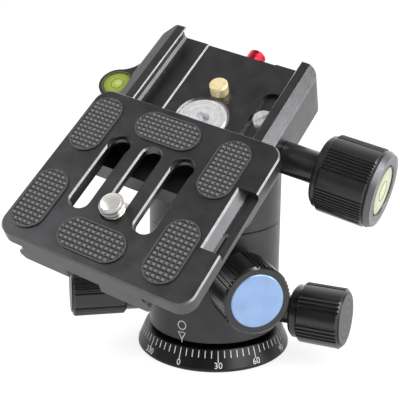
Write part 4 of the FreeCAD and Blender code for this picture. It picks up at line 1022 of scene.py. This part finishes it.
def light_world(strength):
    world = bpy.data.worlds.new("White cove")
    world.use_nodes = True
    bpy.context.scene.world = world
    tree = world.node_tree
    tree.nodes.clear()
    path = add_node(tree, "ShaderNodeLightPath")
    power = choose(tree, path.outputs["Is Glossy Ray"], strength, mirrored_room(tree))
    power = choose(tree, path.outputs["Is Camera Ray"], power, 1.0)
    power = choose(tree, path.outputs["Is Transmission Ray"], power, 1.0)
    sky = add_node(tree, "ShaderNodeBackground", {"Color": (1, 1, 1, 1), "Strength": power})
    add_node(tree, "ShaderNodeOutputWorld", {"Surface": sky.outputs[0]})


def floor_paper():
    """Matt white paper that keeps the object's shadow and reads as white to the camera. Mirrored
    in the object it dims towards the camera's end of the table."""
    material, tree = start_material("White paper")
    coordinates = add_node(tree, "ShaderNodeTexCoord").outputs["Object"]
    tone = blend_colours(tree, clouds(tree, coordinates, 60.0, 0.0, 1.0), linear("#F2F2F2"),
                         linear("#EEEEEE"))
    paper = add_node(tree, "ShaderNodeBsdfDiffuse", {"Color": tone})
    toward_camera = add_node(tree, "ShaderNodeSeparateXYZ", {0: coordinates}).outputs["Y"]
    dimmed = add_node(tree, "ShaderNodeMapRange",
                      {"Value": toward_camera, "From Min": -0.20, "From Max": 0.02,
                       "To Min": 0.15, "To Max": 1.1})
    path = add_node(tree, "ShaderNodeLightPath")
    power = choose(tree, path.outputs["Is Glossy Ray"], 0.0, dimmed.outputs["Result"])
    power = choose(tree, path.outputs["Is Camera Ray"], power, 1.3)
    glow = add_node(tree, "ShaderNodeEmission", {"Color": (1, 1, 1, 1), "Strength": power})
    dim = add_node(tree, "ShaderNodeMixShader", {"Fac": 0.6, 1: paper.outputs[0], 2: glow.outputs[0]})
    end_material(tree, dim)
    return material


class BALLHEAD_OT_stage(Operator):
    """Add the floor, lamps and camera"""

    bl_idname = "ballhead.stage"
    bl_label = "Stage"

    def execute(self, context):
        bpy.ops.mesh.primitive_plane_add(size=12.0, location=(0, 0, -0.02 * MM))
        floor = bpy.context.active_object
        floor.name = "floor"
        paint(floor, floor_paper())
        for name, spot, size, power in SOFTBOXES:
            add_softbox(name, spot, LAMP_AIM, size, power)
        light_world(ROOM_LIGHT)
        context.scene.view_settings.view_transform = "Standard"
        add_camera()
        return {"FINISHED"}


STEPS = ("finishes", "dial", "index_mark", "pads", "camera_screw", "levels", "stage")


class BALLHEAD_PT_panel(Panel):
    """Steps and settings of the ball head's dressing"""

    bl_idname = "BALLHEAD_PT_panel"
    bl_label = "Ball Head"
    bl_space_type = "VIEW_3D"
    bl_region_type = "UI"
    bl_category = "Ball Head"

    def draw(self, context):
        for step in STEPS:
            self.layout.operator("ballhead." + step)
        for group in (context.scene.ballhead_sizes, context.scene.ballhead_colours):
            for name in group.__annotations__:
                self.layout.prop(group, name)


CLASSES = (BallHeadSizes, BallHeadColours, BALLHEAD_OT_finishes, BALLHEAD_OT_dial,
           BALLHEAD_OT_index_mark, BALLHEAD_OT_pads, BALLHEAD_OT_camera_screw, BALLHEAD_OT_levels,
           BALLHEAD_OT_stage, BALLHEAD_PT_panel)


def register():
    for item in CLASSES:
        bpy.utils.register_class(item)
    bpy.types.Scene.ballhead_sizes = PointerProperty(type=BallHeadSizes)
    bpy.types.Scene.ballhead_colours = PointerProperty(type=BallHeadColours)


def unregister():
    del bpy.types.Scene.ballhead_colours
    del bpy.types.Scene.ballhead_sizes
    for item in reversed(CLASSES):
        bpy.utils.unregister_class(item)


def main():
    register()
    deselect()
    for step in STEPS:
        getattr(bpy.ops.ballhead, step)()


if __name__ == "__main__":
    main()
